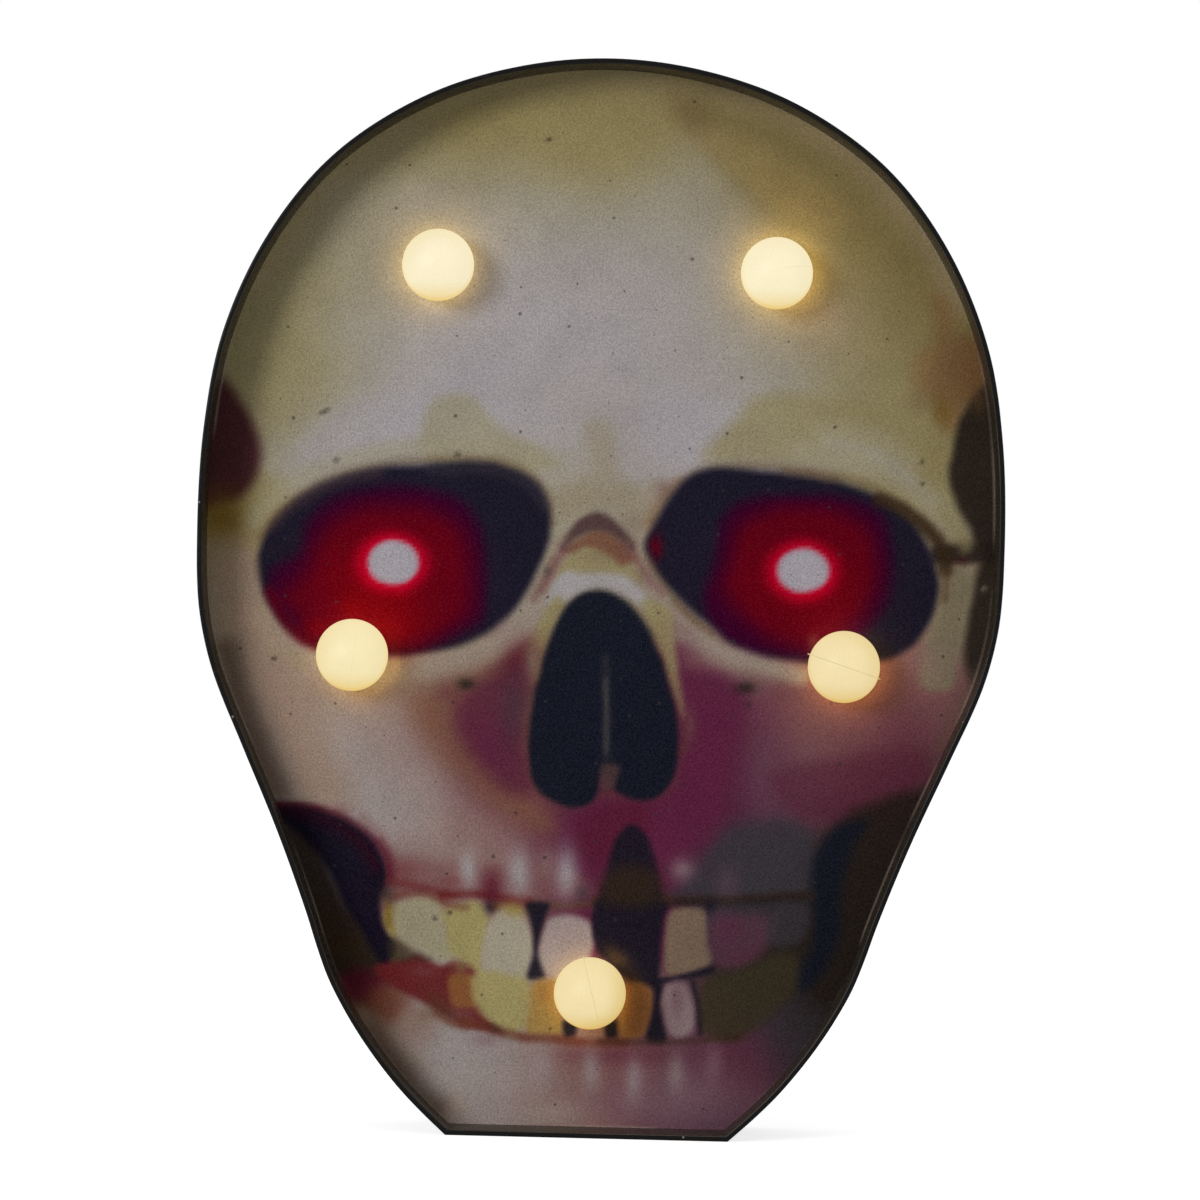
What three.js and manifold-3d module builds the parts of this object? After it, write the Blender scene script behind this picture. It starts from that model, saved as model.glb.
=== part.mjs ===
// A battery-lit skull sign that stands on its flat chin or hangs on a wall. A shallow black moulded frame
// carries a printed face with five frosted globes over LEDs. Behind it are the wiring, a screwed back cover
// with a keyhole, and a two-cell battery box with a sliding door and an on-off switch.
// Millimetres, +Z up, the face looks towards -Y, and the origin is in the middle under the chin.
import * as THREE from "three";
import { mergeVertices } from "three/addons/utils/BufferGeometryUtils.js";
import Module from "manifold-3d";

const wasm = await Module();
wasm.setup();

// The sign's overall size.
const height = 216;
const width = 161.5;
const depth = 33;

// Half of the skull's outline from the corner of the chin to the crown. Each station is a share of half the
// width and a share of the height.
const outlineShares = [
  [0.35, 0], [0.449, 0.0348], [0.5325, 0.0719], [0.6, 0.109], [0.653, 0.146], [0.6745, 0.167],
  [0.706, 0.2017], [0.782, 0.2758], [0.891, 0.3686], [0.9537, 0.4242], [0.99, 0.4798], [1, 0.5447],
  [0.991, 0.6467], [0.948, 0.7395], [0.839, 0.8322], [0.681, 0.9064], [0.459, 0.962], [0.229, 0.9907], [0, 1],
];
const outlineSteps = 84;

// What keeps separate pieces apart, how far a cutting tool runs past what it cuts, and round facets.
const gap = 0.3;
const overrun = 1;
const roundSides = 16;
const fineSides = 12;

// The frame: its outer wall and the panel behind the print.
const frame = { wall: 1.1, panel: 1.4, coverInset: 4.6, bossRadius: 3.2, pilotRadius: 1.4 };
const print = { thickness: 0.35, edgeGap: 0.3 };

// Places on the face and on the cover, each as a share of half the width and a share of the height.
const foreheadLampShares = [0.4223, 0.8069];
const cheekLampShares = [0.613, 0.4417];
const mouthLampShares = [0, 0.132];
const coverScrewShares = [[0.47, 0.898], [0.8545, 0.528], [0.31, 0.065]];
const keyholeShares = [0, 0.88];
const boxFootShares = [0, 0.2315];

// A globe is a frosted ball cut flat where it sits on the print, with a neck through the panel.
const globe = { radius: 7.25, wall: 1, seat: 5.8, neckRadius: 3.9, neckBore: 3.2, neckLength: 3.8, rings: 9 };
const led = {
  radius: 2.5, length: 8.6, flangeRadius: 2.9, flange: 1, behindNeck: 0.3,
  legPitch: 2.54, legSide: 0.5, legLength: 3.1,
};
const sleeve = { wide: 4.6, tall: 2.4, deep: 2.4, behindFlange: 2.1 };
const holder = { radius: 6, wall: 1.2, legHole: 1.9, rearGap: 0.3 };

// The back cover lies inside the frame on six bosses.
const cover = { thickness: 1.8, edgeGap: 0.4, boxGap: 0.4, boxBossRadius: 2.8, boxBoss: 4 };
const keyhole = { headRadius: 4.6, slotRadius: 2.4, slotLength: 9 };
const screw = {
  headRadius: 2.5, head: 0.9, shankRadius: 1.1, length: 8, tip: 1.2, counterbore: 1, headGap: 0.4, shankGap: 0.4,
  recessWide: 0.6, recessLong: 3, recessDeep: 0.5,
};
const boxScrewLength = 6;

// The two cells side by side, and the box round them with its switch bay below.
const cell = { diameter: 14.2, length: 50, nubRadius: 2.7, nub: 1.3, pitch: 14.8, sideGap: 0.4 };
const springSpace = 5.5;
const box = {
  wall: 1.2, floor: 1.2, bay: 12, frontGap: 0.45, rimBelowDoor: 0.3, bayStep: 2.6, bayRear: 1.2,
};
const rail = { out: 0.9, deep: 0.9, belowRim: 0.5 };
const tongue = { long: 2, deep: 1.4, wide: 12 };
const ear = { out: 7, tall: 8, thick: 1.5, up: 1.5 };
const contact = { thickness: 0.4, edge: 1.5, tailWide: 2.4, tailLong: 5.3, tailAcross: 11, tailFront: 1 };
const spring = { wire: 0.6, baseRadius: 4, tipRadius: 2.6, turns: 3.5, stepsPerTurn: 8, sides: 5 };

// The door caps the box and slides up off its rails.
const door = { plate: 1, cellGap: 0.2, skirt: 0.9, hook: 0.9, coverGap: 0.3, lip: 1.4, belowRim: 0.4 };
const ridge = { count: 5, wide: 16, tall: 1.1, out: 0.4, pitch: 2.4, belowTop: 12 };

// The slide switch stands behind a slot in the bay's rear wall.
const slideSwitch = {
  wide: 8.6, tall: 4.4, deep: 4.3, channelWide: 7, channelTall: 2.4, channelDeep: 1.6,
  pinSide: 0.5, pinLong: 3.5, pinPitch: 2.5, ribTall: 5.6, ribWide: 1.2,
};
const knob = {
  wide: 3.6, tall: 3, out: 1.8, travel: 2.6, footWide: 3, footTall: 1.8, groove: 0.3, grooves: 3, groovePitch: 1,
};
const wireNotch = { across: -6.2, wide: 2.4, deep: 5.3, insideRun: 2.2, outsideRun: 0.6 };

// The insulated leads lie along the panel between the lamps.
const leadRadius = 0.8;
const lead = { sides: 8, steps: 18, shortSteps: 16, dropRun: 6, lift: 1.4, sag: 3.4 };
const jumper = { radius: 0.6, steps: 8, overlap: 1.2, bend: 2.2 };

// Depths that follow from the sizes above, from the front rim at the lowest y to the rear rim at the highest.
// The door, a cell, the box, the panel and the print lie in front of each other from the rear rim, and what is
// left of the depth is the recess in front of the print.
const frontRim = -depth / 2;
const rearRim = depth / 2;
const doorFace = rearRim - door.belowRim;
const doorInner = doorFace - ridge.out - door.plate;
const cellFloor = doorInner - door.cellGap - cell.diameter - gap;
const cellMiddle = cellFloor + gap + cell.diameter / 2;
const boxFront = cellFloor - box.floor;
const panelBack = boxFront - box.frontGap;
const panelFront = panelBack - frame.panel;
const printFace = panelFront - print.thickness;
const coverOuter = rearRim - frame.coverInset;
const coverInner = coverOuter - cover.thickness;
const boxRim = doorInner - box.rimBelowDoor;
const bayFace = rearRim - box.bayStep;

// Heights and half widths of the battery box, from its own foot.
const cellHalfWidth = cell.pitch / 2 + cell.diameter / 2 + cell.sideGap;
const boxHalfWidth = cellHalfWidth + box.wall;
const bayTop = box.wall + box.bay;
const cellsFrom = bayTop + box.wall;
const cellsTo = cellsFrom + cell.length + springSpace + gap + 2 * contact.thickness;
const boxTop = cellsTo + box.wall;

// A three.js geometry as a closed solid that faces out, for joining and cutting.
function solid(geometry) {
  const bare = geometry.clone();
  bare.deleteAttribute("normal");
  bare.deleteAttribute("uv");
  const merged = mergeVertices(bare, 1e-4);
  const vertProperties = new Float32Array(merged.attributes.position.array);
  const triVerts = new Uint32Array(merged.index.array);
  const made = new wasm.Manifold(new wasm.Mesh({ numProp: 3, vertProperties, triVerts }));
  if (made.volume() >= 0) return made;
  return new wasm.Manifold(new wasm.Mesh({ numProp: 3, vertProperties, triVerts: triVerts.reverse() }));
}

const join = (first, ...rest) => rest.reduce((whole, piece) => whole.add(piece), first);
const cut = (first, ...rest) => rest.reduce((whole, tool) => whole.subtract(tool), first);

// A block between two values on each axis.
function block([x0, x1], [y0, y1], [z0, z1]) {
  const geometry = new THREE.BoxGeometry(x1 - x0, y1 - y0, z1 - z0);
  geometry.translate((x0 + x1) / 2, (y0 + y1) / 2, (z0 + z1) / 2);
  return solid(geometry);
}

// The outline in the XZ plane, extruded from one depth to another.
function plate(points, y0, y1) {
  const geometry = new THREE.ExtrudeGeometry(new THREE.Shape(points), { depth: y1 - y0, bevelEnabled: false });
  geometry.rotateX(Math.PI / 2);
  geometry.translate(0, y1, 0);
  return solid(geometry);
}

// A round bar along Y.
function bar(radius, y0, y1, { across = 0, up = 0 } = {}, sides = roundSides) {
  const geometry = new THREE.CylinderGeometry(radius, radius, y1 - y0, sides);
  geometry.translate(across, (y0 + y1) / 2, up);
  return solid(geometry);
}

// A profile of [radius, depth] pairs turned about Y.
function turned(profile, sides = roundSides) {
  return solid(new THREE.LatheGeometry(profile.map(([r, y]) => new THREE.Vector2(r, y)), sides));
}

// A round tube along a curve, with flat ends.
function tube(curve, radius, sides, steps) {
  const ring = new THREE.Shape();
  for (let i = 0; i < sides; i++) {
    const angle = (2 * Math.PI * i) / sides;
    const point = [radius * Math.cos(angle), radius * Math.sin(angle)];
    if (i === 0) ring.moveTo(...point);
    else ring.lineTo(...point);
  }
  return solid(new THREE.ExtrudeGeometry(ring, { steps, extrudePath: curve, bevelEnabled: false }));
}

const plastic = (color, roughness) => new THREE.MeshStandardMaterial({ color, roughness, metalness: 0 });
const metal = (color, roughness) => new THREE.MeshStandardMaterial({ color, roughness, metalness: 1 });
const materials = {
  frame: plastic(0x16141a, 0.3),
  print: plastic(0x8f8a80, 0.55),
  globe: new THREE.MeshStandardMaterial({ color: 0xf6ecd0, roughness: 0.4, emissive: 0xf5d78e }),
  led: plastic(0xf3e7b8, 0.15),
  holder: plastic(0xe8e6e0, 0.5),
  cover: plastic(0x1b1a1d, 0.55),
  knob: plastic(0xd9d9d6, 0.45),
  cell: plastic(0x2c5f4a, 0.3),
  contact: metal(0xc9c7bf, 0.3),
  screw: metal(0x9a9a9c, 0.35),
  lead: plastic(0xd8d4c8, 0.5),
};

const sign = new THREE.Group();

// A named mesh of a solid, in its parent's frame.
function piece(name, shape, material, parent = sign) {
  const { vertProperties, triVerts } = shape.getMesh();
  const geometry = new THREE.BufferGeometry();
  geometry.setAttribute("position", new THREE.BufferAttribute(new Float32Array(vertProperties), 3));
  geometry.setIndex(new THREE.BufferAttribute(new Uint32Array(triVerts), 1));
  geometry.computeVertexNormals();
  const mesh = new THREE.Mesh(geometry, material);
  mesh.name = name;
  parent.add(mesh);
  return mesh;
}

// The skull's outline, taken in all round by an inset, as points that run anticlockwise from the chin's
// right corner over the crown to its left corner.
function outline(inset = 0) {
  const right = outlineShares.map(([x, z]) => new THREE.Vector3((x * width) / 2, z * height, 0));
  const left = right.slice(0, -1).reverse().map((p) => new THREE.Vector3(-p.x, p.y, 0));
  const points = new THREE.CatmullRomCurve3([...right, ...left]).getSpacedPoints(outlineSteps);
  const count = points.length;
  return points.map((point, i) => {
    const before = point.clone().sub(points[(i + count - 1) % count]).normalize();
    const after = points[(i + 1) % count].clone().sub(point).normalize();
    const inward = new THREE.Vector2(-before.y - after.y, before.x + after.x).normalize();
    const mitre = inset / Math.sqrt((1 + before.dot(after)) / 2);
    return new THREE.Vector2(point.x + inward.x * mitre, point.y + inward.y * mitre);
  });
}

// A place from its shares, and the pair of places on both sides of the middle.
const place = ([acrossShare, upShare]) => ({ across: (acrossShare * width) / 2, up: upShare * height });
const bothSides = ({ across, up }) => [{ across: -across, up }, { across, up }];
const coverScrews = coverScrewShares.map(place).flatMap(bothSides);
const keyholeUp = place(keyholeShares).up;
const boxFoot = place(boxFootShares).up;
const [foreheadLeft, foreheadRight] = bothSides(place(foreheadLampShares));
const [cheekLeft, cheekRight] = bothSides(place(cheekLampShares));
const mouth = place(mouthLampShares);
const lamps = [
  { name: "forehead_left", ...foreheadLeft },
  { name: "forehead_right", ...foreheadRight },
  { name: "cheek_left", ...cheekLeft },
  { name: "cheek_right", ...cheekRight },
  { name: "mouth", ...mouth },
];
const neckHoles = (y0, y1) => lamps.map((lamp) => bar(globe.neckRadius + gap, y0 - overrun, y1 + overrun, lamp));

// The wall with its panel part way back, holes for the lamps and bosses for the cover's screws.
function frontFrame() {
  const inside = outline(frame.wall);
  const bosses = coverScrews.map((at) => bar(frame.bossRadius, panelBack - frame.panel / 2, coverInner, at));
  const pilots = coverScrews.map((at) => bar(frame.pilotRadius, panelBack, coverInner + overrun, at));
  const shell = cut(
    plate(outline(), frontRim, rearRim),
    plate(inside, frontRim - overrun, panelFront),
    plate(inside, panelBack, rearRim + overrun),
    ...neckHoles(panelFront, panelBack),
  );
  return cut(join(shell, ...bosses), ...pilots);
}

// The printed sheet on the panel.
function facePrint() {
  return cut(plate(outline(frame.wall + print.edgeGap), printFace, panelFront), ...neckHoles(printFace, panelFront));
}

// A lamp's own frame has its origin on the print, with y running back through the panel.
const neckEnd = globe.neckLength;
const flangeFront = neckEnd + led.behindNeck;
const flangeBack = flangeFront + led.flange;
const panelBackFromPrint = panelBack - printFace;

// A point of an arc about the globe's centre, at an angle from the pole that faces the viewer.
const onGlobe = (radius, angle) => [radius * Math.sin(angle), -globe.seat - radius * Math.cos(angle)];

function globeShell() {
  const inner = globe.radius - globe.wall;
  const outerEnd = Math.PI - Math.acos(globe.seat / globe.radius);
  const innerEnd = Math.PI - Math.asin(globe.neckBore / inner);
  const arc = (radius, end) =>
    Array.from({ length: globe.rings + 1 }, (_, i) => onGlobe(radius, (end * i) / globe.rings));
  const outside = arc(globe.radius, outerEnd);
  const inside = arc(inner, innerEnd).reverse();
  return turned([...outside, [globe.neckRadius, 0], [globe.neckRadius, neckEnd], [globe.neckBore, neckEnd], ...inside]);
}

// The LED with its legs, and the sleeve over its soldered joint.
function ledBody() {
  const tip = flangeBack - led.length;
  const dome = [0, 1, 2].map((i) => {
    const angle = (i * Math.PI) / 6;
    return [led.radius * Math.sin(angle), tip + led.radius * (1 - Math.cos(angle))];
  });
  const body = turned([
    ...dome, [led.radius, tip + led.radius], [led.radius, flangeFront],
    [led.flangeRadius, flangeFront], [led.flangeRadius, flangeBack], [0, flangeBack],
  ], fineSides);
  const legs = [-1, 1].map((side) => {
    const middle = (side * led.legPitch) / 2;
    const across = [middle - led.legSide / 2, middle + led.legSide / 2];
    const from = flangeBack - led.flange / 2;
    return block(across, [from, flangeBack + led.legLength], [-led.legSide / 2, led.legSide / 2]);
  });
  const sleeveFront = flangeBack + sleeve.behindFlange;
  const joint = block(
    [-sleeve.wide / 2, sleeve.wide / 2],
    [sleeveFront, sleeveFront + sleeve.deep],
    [-sleeve.tall / 2, sleeve.tall / 2],
  );
  return join(body, ...legs, joint);
}

// The cup that grips the globe's neck behind the panel and holds the LED's flange.
function lampHolder() {
  const neckBore = globe.neckRadius + gap;
  const flangeBore = led.flangeRadius + gap;
  const step = neckEnd + led.behindNeck / 2;
  const rearInner = flangeBack + holder.rearGap;
  const rear = rearInner + holder.wall;
  return turned([
    [holder.radius, panelBackFromPrint], [holder.radius, rear], [holder.legHole, rear], [holder.legHole, rearInner],
    [flangeBore, rearInner], [flangeBore, step], [neckBore, step], [neckBore, panelBackFromPrint],
    [holder.radius, panelBackFromPrint],
  ]);
}

for (const { name, across, up } of lamps) {
  const lamp = new THREE.Group();
  lamp.position.set(across, printFace, up);
  sign.add(lamp);
  piece(`globe_${name}`, globeShell(), materials.globe, lamp);
  piece(`led_${name}`, ledBody(), materials.led, lamp);
  piece(`holder_${name}`, lampHolder(), materials.holder, lamp);
}
piece("front_frame", frontFrame(), materials.frame);
piece("face_print", facePrint(), materials.print);

// The ears beside the switch bay, where two screws hold the box to the cover.
const earMiddle = { across: boxHalfWidth + ear.out / 2, up: boxFoot + ear.up + ear.tall / 2 };
const boxScrews = bothSides(earMiddle);

// The keyhole's round mouth and the narrow slot above it.
function keyholeTool() {
  const from = coverInner - overrun;
  const to = coverOuter + overrun;
  const slotTop = keyholeUp + keyhole.slotLength;
  return join(
    bar(keyhole.headRadius, from, to, { up: keyholeUp }),
    bar(keyhole.slotRadius, from, to, { up: slotTop }),
    block([-keyhole.slotRadius, keyhole.slotRadius], [from, to], [keyholeUp, slotTop]),
  );
}

function backCover() {
  const slab = plate(outline(frame.wall + cover.edgeGap), coverInner, coverOuter);
  const bosses = boxScrews.map((at) =>
    bar(cover.boxBossRadius, coverInner - cover.boxBoss, coverInner + cover.thickness / 2, at));
  const pilots = boxScrews.map((at) =>
    bar(frame.pilotRadius, coverInner - cover.boxBoss - overrun, coverOuter + overrun, at));
  const through = coverScrews.map((at) =>
    bar(screw.shankRadius + screw.shankGap, coverInner - overrun, coverOuter + overrun, at));
  const sinks = coverScrews.map((at) =>
    bar(screw.headRadius + screw.headGap, coverOuter - screw.counterbore, coverOuter + overrun, at));
  const aperture = block(
    [-boxHalfWidth - cover.boxGap, boxHalfWidth + cover.boxGap],
    [coverInner - overrun, coverOuter + overrun],
    [boxFoot - cover.boxGap, boxFoot + boxTop + cover.boxGap],
  );
  return cut(join(slab, ...bosses), aperture, keyholeTool(), ...pilots, ...through, ...sinks);
}
piece("back_cover", backCover(), materials.cover);

// A pan-head screw along Y, with its head's outer face at 0 and a cross recess in it.
function crossScrew(length) {
  const body = turned([
    [0, 0], [screw.headRadius, 0], [screw.headRadius, -screw.head], [screw.shankRadius, -screw.head],
    [screw.shankRadius, screw.tip - length], [0, -length],
  ], fineSides);
  const long = [-screw.recessLong / 2, screw.recessLong / 2];
  const wide = [-screw.recessWide / 2, screw.recessWide / 2];
  const deep = [-screw.recessDeep, overrun];
  return cut(body, block(long, deep, wide), block(wide, deep, long));
}

function placeScrews(prefix, places, length, headFace) {
  places.forEach(({ across, up }, i) => {
    piece(`${prefix}_${i + 1}`, crossScrew(length), materials.screw).position.set(across, headFace, up);
  });
}
placeScrews("cover_screw", coverScrews, screw.length, coverOuter - screw.counterbore + screw.head);
placeScrews("box_screw", boxScrews, boxScrewLength, coverOuter + ear.thick + screw.head);

// Everything in the battery unit is placed from the box's own foot.
const unit = new THREE.Group();
unit.position.set(0, 0, boxFoot);
sign.add(unit);

const switchMiddle = box.wall + box.bay / 2;
const bayRearInner = bayFace - box.bayRear;
const switchBack = bayRearInner - gap;
const switchFront = switchBack - slideSwitch.deep;
const tailBack = cellFloor + contact.tailFront + contact.thickness;
const tailFront = cellFloor + contact.tailFront;

// Where the battery box's rails stand out, as [from, to] in depth.
const railDepths = [boxRim - rail.belowRim - rail.deep, boxRim - rail.belowRim];

function batteryBox() {
  const across = [-boxHalfWidth, boxHalfWidth];
  const inside = [-cellHalfWidth, cellHalfWidth];
  const body = block(across, [boxFront, boxRim], [0, boxTop]);
  const rails = [-1, 1].map((side) => {
    const edges = [side * (boxHalfWidth - box.wall / 2), side * (boxHalfWidth + rail.out)].sort((a, b) => a - b);
    return block(edges, railDepths, [cellsFrom, boxTop]);
  });
  const topTongue = block(
    [-tongue.wide / 2, tongue.wide / 2],
    [coverInner - gap - tongue.deep, coverInner - gap],
    [boxTop - box.wall / 2, boxTop + tongue.long],
  );
  const ears = block(
    [-boxHalfWidth - ear.out, boxHalfWidth + ear.out],
    [coverOuter, coverOuter + ear.thick],
    [ear.up, ear.up + ear.tall],
  );
  const ribs = [-1, 1].map((side) => {
    const near = slideSwitch.wide / 2 + gap;
    const edges = [side * near, side * (near + slideSwitch.ribWide)].sort((a, b) => a - b);
    const tall = [switchMiddle - slideSwitch.ribTall / 2, switchMiddle + slideSwitch.ribTall / 2];
    return block(edges, [switchFront + gap, bayRearInner + box.bayRear / 2], tall);
  });
  const cells = block(inside, [cellFloor, boxRim + overrun], [cellsFrom, cellsTo]);
  const bay = block(inside, [boxFront - overrun, bayRearInner], [box.wall, bayTop]);
  const step = block(
    [-boxHalfWidth - overrun, boxHalfWidth + overrun],
    [bayFace, boxRim + overrun],
    [-overrun, bayTop],
  );
  const slotHalf = knob.wide / 2 + knob.travel / 2 + gap;
  const slot = block(
    [-slotHalf, slotHalf],
    [bayRearInner - overrun, bayFace + overrun],
    [switchMiddle - knob.tall / 2 - gap, switchMiddle + knob.tall / 2 + gap],
  );
  const tailSlots = [-1, 1].map((side) => {
    const middle = side * contact.tailAcross;
    const half = contact.tailWide / 2 + gap;
    return block([middle - half, middle + half], [tailFront - gap, tailBack + gap], [bayTop - overrun, cellsFrom]);
  });
  const notch = block(
    [wireNotch.across - wireNotch.wide / 2, wireNotch.across + wireNotch.wide / 2],
    [boxFront - overrun, boxFront + wireNotch.deep],
    [-overrun, box.wall + overrun],
  );
  const earHoles = boxScrews.map(({ across: x, up }) =>
    bar(screw.shankRadius + screw.shankGap, coverOuter - overrun, coverOuter + ear.thick + overrun, {
      across: x, up: up - boxFoot,
    }));
  const hollowed = cut(join(body, ears), cells, bay, step);
  return cut(join(hollowed, ...rails, topTongue, ...ribs), slot, ...tailSlots, notch, ...earHoles);
}
piece("battery_box", batteryBox(), materials.cover, unit);

// The door's plate, skirts with hooks under the rails, end lip over the box's top wall and finger ridges.
function batteryDoor() {
  const skirtInner = boxHalfWidth + rail.out + gap;
  const skirtOuter = skirtInner + door.skirt;
  const skirtFront = coverOuter + door.coverGap;
  const lipFrom = boxTop + gap;
  const doorTop = lipFrom + door.lip;
  const from = bayTop + gap;
  const plateBack = doorInner + door.plate;
  const pieces = [block([-skirtOuter, skirtOuter], [doorInner, plateBack], [from, doorTop])];
  for (const side of [-1, 1]) {
    const sorted = (a, b) => [side * a, side * b].sort((p, q) => p - q);
    pieces.push(block(sorted(skirtInner, skirtOuter), [skirtFront, plateBack], [cellsFrom, doorTop]));
    const hookInner = skirtInner - door.hook;
    pieces.push(block(sorted(hookInner, skirtOuter), [skirtFront, railDepths[0] - gap], [cellsFrom, doorTop]));
  }
  pieces.push(block([-skirtOuter, skirtOuter], [skirtFront, plateBack], [lipFrom, doorTop]));
  for (let i = 0; i < ridge.count; i++) {
    const middle = boxTop - ridge.belowTop - i * ridge.pitch;
    pieces.push(block(
      [-ridge.wide / 2, ridge.wide / 2],
      [doorInner + door.plate / 2, doorFace],
      [middle - ridge.tall / 2, middle + ridge.tall / 2],
    ));
  }
  return join(...pieces);
}
piece("battery_door", batteryDoor(), materials.cover, unit);

// A cell along Z with its foot at 0 and its positive nub on top.
function batteryCell() {
  const shape = solid(new THREE.LatheGeometry([
    [0, 0], [cell.diameter / 2, 0], [cell.diameter / 2, cell.length - cell.nub],
    [cell.nubRadius, cell.length - cell.nub], [cell.nubRadius, cell.length], [0, cell.length],
  ].map(([r, y]) => new THREE.Vector2(r, y)), roundSides));
  return shape.rotate([90, 0, 0]);
}

// The left cell stands on its spring, and the right one is upside down under the other spring.
const cellTop = cellsTo - contact.thickness - gap;
const cellFoot = cellsFrom + contact.thickness + gap;
const leftCell = piece("battery_cell_left", batteryCell(), materials.cell, unit);
leftCell.position.set(-cell.pitch / 2, cellMiddle, cellTop - cell.length);
const rightCell = piece("battery_cell_right", batteryCell(), materials.cell, unit);
rightCell.position.set(cell.pitch / 2, cellMiddle, cellFoot + cell.length);
rightCell.rotation.x = Math.PI;

// A conical contact spring from its contact plate to the cell, with short straight ends along its axis.
class SpringPath extends THREE.Curve {
  constructor(length) {
    super();
    this.length = length;
  }
  getPoint(t, target = new THREE.Vector3()) {
    const along = t * this.length;
    const coiled = this.length - 2 * spring.wire;
    const share = THREE.MathUtils.clamp((along - spring.wire) / coiled, 0, 1);
    const radius = THREE.MathUtils.lerp(spring.baseRadius, spring.tipRadius, share);
    const angle = 2 * Math.PI * spring.turns * share;
    return target.set(radius * Math.cos(angle), radius * Math.sin(angle), along);
  }
}

// The least clear distance between turns, measured on points a half turn or more apart.
function leastGap(path, steps) {
  const points = path.getPoints(steps);
  let least = Infinity;
  points.forEach((a, i) => {
    points.slice(i + spring.stepsPerTurn / 2).forEach((b) => {
      least = Math.min(least, a.distanceTo(b) - spring.wire);
    });
  });
  return least;
}

const springLength = springSpace - gap;
const springPath = new SpringPath(springLength);
const springSteps = Math.ceil(spring.turns * spring.stepsPerTurn) + 2;
console.log(`contact spring: least gap between turns ${leastGap(springPath, springSteps).toFixed(2)} mm`);
const springShape = () => tube(springPath, spring.wire / 2, spring.sides, springSteps);
const leftSpring = piece("contact_spring_left", springShape(), materials.contact, unit);
leftSpring.position.set(-cell.pitch / 2, cellMiddle, cellFoot);
const rightSpring = piece("contact_spring_right", springShape(), materials.contact, unit);
rightSpring.position.set(cell.pitch / 2, cellMiddle, cellTop);
rightSpring.rotation.x = Math.PI;

// The plate that joins the cells at the top, and the two end plates whose tails reach into the switch bay.
const contactDepths = [tailFront, boxRim - contact.edge];
const contactHalf = cellHalfWidth - contact.edge;
piece(
  "bridge_contact",
  block([-contactHalf, contactHalf], contactDepths, [cellsTo - contact.thickness, cellsTo]),
  materials.contact, unit,
);
for (const [name, side] of [["negative_contact", -1], ["positive_contact", 1]]) {
  const edges = [side * contact.edge, side * contactHalf].sort((a, b) => a - b);
  const middle = side * contact.tailAcross;
  const tail = [middle - contact.tailWide / 2, middle + contact.tailWide / 2];
  piece(name, join(
    block(edges, contactDepths, [cellsFrom, cellsFrom + contact.thickness]),
    block(tail, [tailFront, tailBack], [cellsFrom + contact.thickness - contact.tailLong, cellsFrom + contact.thickness]),
  ), materials.contact, unit);
}

// The switch's housing with a channel for the slider's foot, and three pins towards the panel.
function switchBody() {
  const body = block(
    [-slideSwitch.wide / 2, slideSwitch.wide / 2],
    [switchFront, switchBack],
    [switchMiddle - slideSwitch.tall / 2, switchMiddle + slideSwitch.tall / 2],
  );
  const channel = block(
    [-slideSwitch.channelWide / 2, slideSwitch.channelWide / 2],
    [switchBack - slideSwitch.channelDeep, switchBack + overrun],
    [switchMiddle - slideSwitch.channelTall / 2, switchMiddle + slideSwitch.channelTall / 2],
  );
  const half = slideSwitch.pinSide / 2;
  const pins = [-1, 0, 1].map((i) => {
    const middle = i * slideSwitch.pinPitch;
    const deep = [switchFront - slideSwitch.pinLong, switchFront + overrun];
    return block([middle - half, middle + half], deep, [switchMiddle - half, switchMiddle + half]);
  });
  return join(cut(body, channel), ...pins);
}
piece("switch_body", switchBody(), materials.contact, unit);

// The slider stands at its ON end, at the right as seen from the front.
function switchKnob() {
  const middle = knob.travel / 2;
  const face = bayFace + knob.out;
  const finger = block(
    [middle - knob.wide / 2, middle + knob.wide / 2],
    [switchBack + gap, face],
    [switchMiddle - knob.tall / 2, switchMiddle + knob.tall / 2],
  );
  const foot = block(
    [middle - knob.footWide / 2, middle + knob.footWide / 2],
    [switchBack - slideSwitch.channelDeep + gap, switchBack + 2 * gap],
    [switchMiddle - knob.footTall / 2, switchMiddle + knob.footTall / 2],
  );
  const grooves = Array.from({ length: knob.grooves }, (_, i) => {
    const x = middle + (i - (knob.grooves - 1) / 2) * knob.groovePitch;
    return block(
      [x - knob.groove / 2, x + knob.groove / 2],
      [face - knob.groove, face + overrun],
      [switchMiddle - knob.tall / 2 - overrun, switchMiddle + knob.tall / 2 + overrun],
    );
  });
  return cut(join(finger, foot), ...grooves);
}
piece("switch_knob", switchKnob(), materials.knob, unit);

// The leads. Each leaves a sleeve level, drops to the panel, runs along it and climbs to the next sleeve.
const sleeveMiddle = printFace + flangeBack + sleeve.behindFlange + sleeve.deep / 2;
const onPanel = panelBack + gap + leadRadius;
const landing = onPanel + lead.lift;
const clearOfHolder = holder.radius + leadRadius + 2 * gap;

function makeLead(name, points, radius, steps) {
  const route = new THREE.CatmullRomCurve3(points.map(([x, y, z]) => new THREE.Vector3(x, y, z)));
  piece(name, tube(route, radius, lead.sides, steps), materials.lead);
}

// The three points at a lamp's end of a lead that leaves it towards one side, from the sleeve to the panel.
function lampEnd({ across, up }, [right, above]) {
  const fromSleeve = gap + (right === 0 ? sleeve.tall : sleeve.wide) / 2;
  const at = (reach, y) => [across + right * reach, y, up + above * reach];
  return [at(fromSleeve, sleeveMiddle), at(clearOfHolder, sleeveMiddle), at(clearOfHolder + lead.dropRun, landing)];
}

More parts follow.
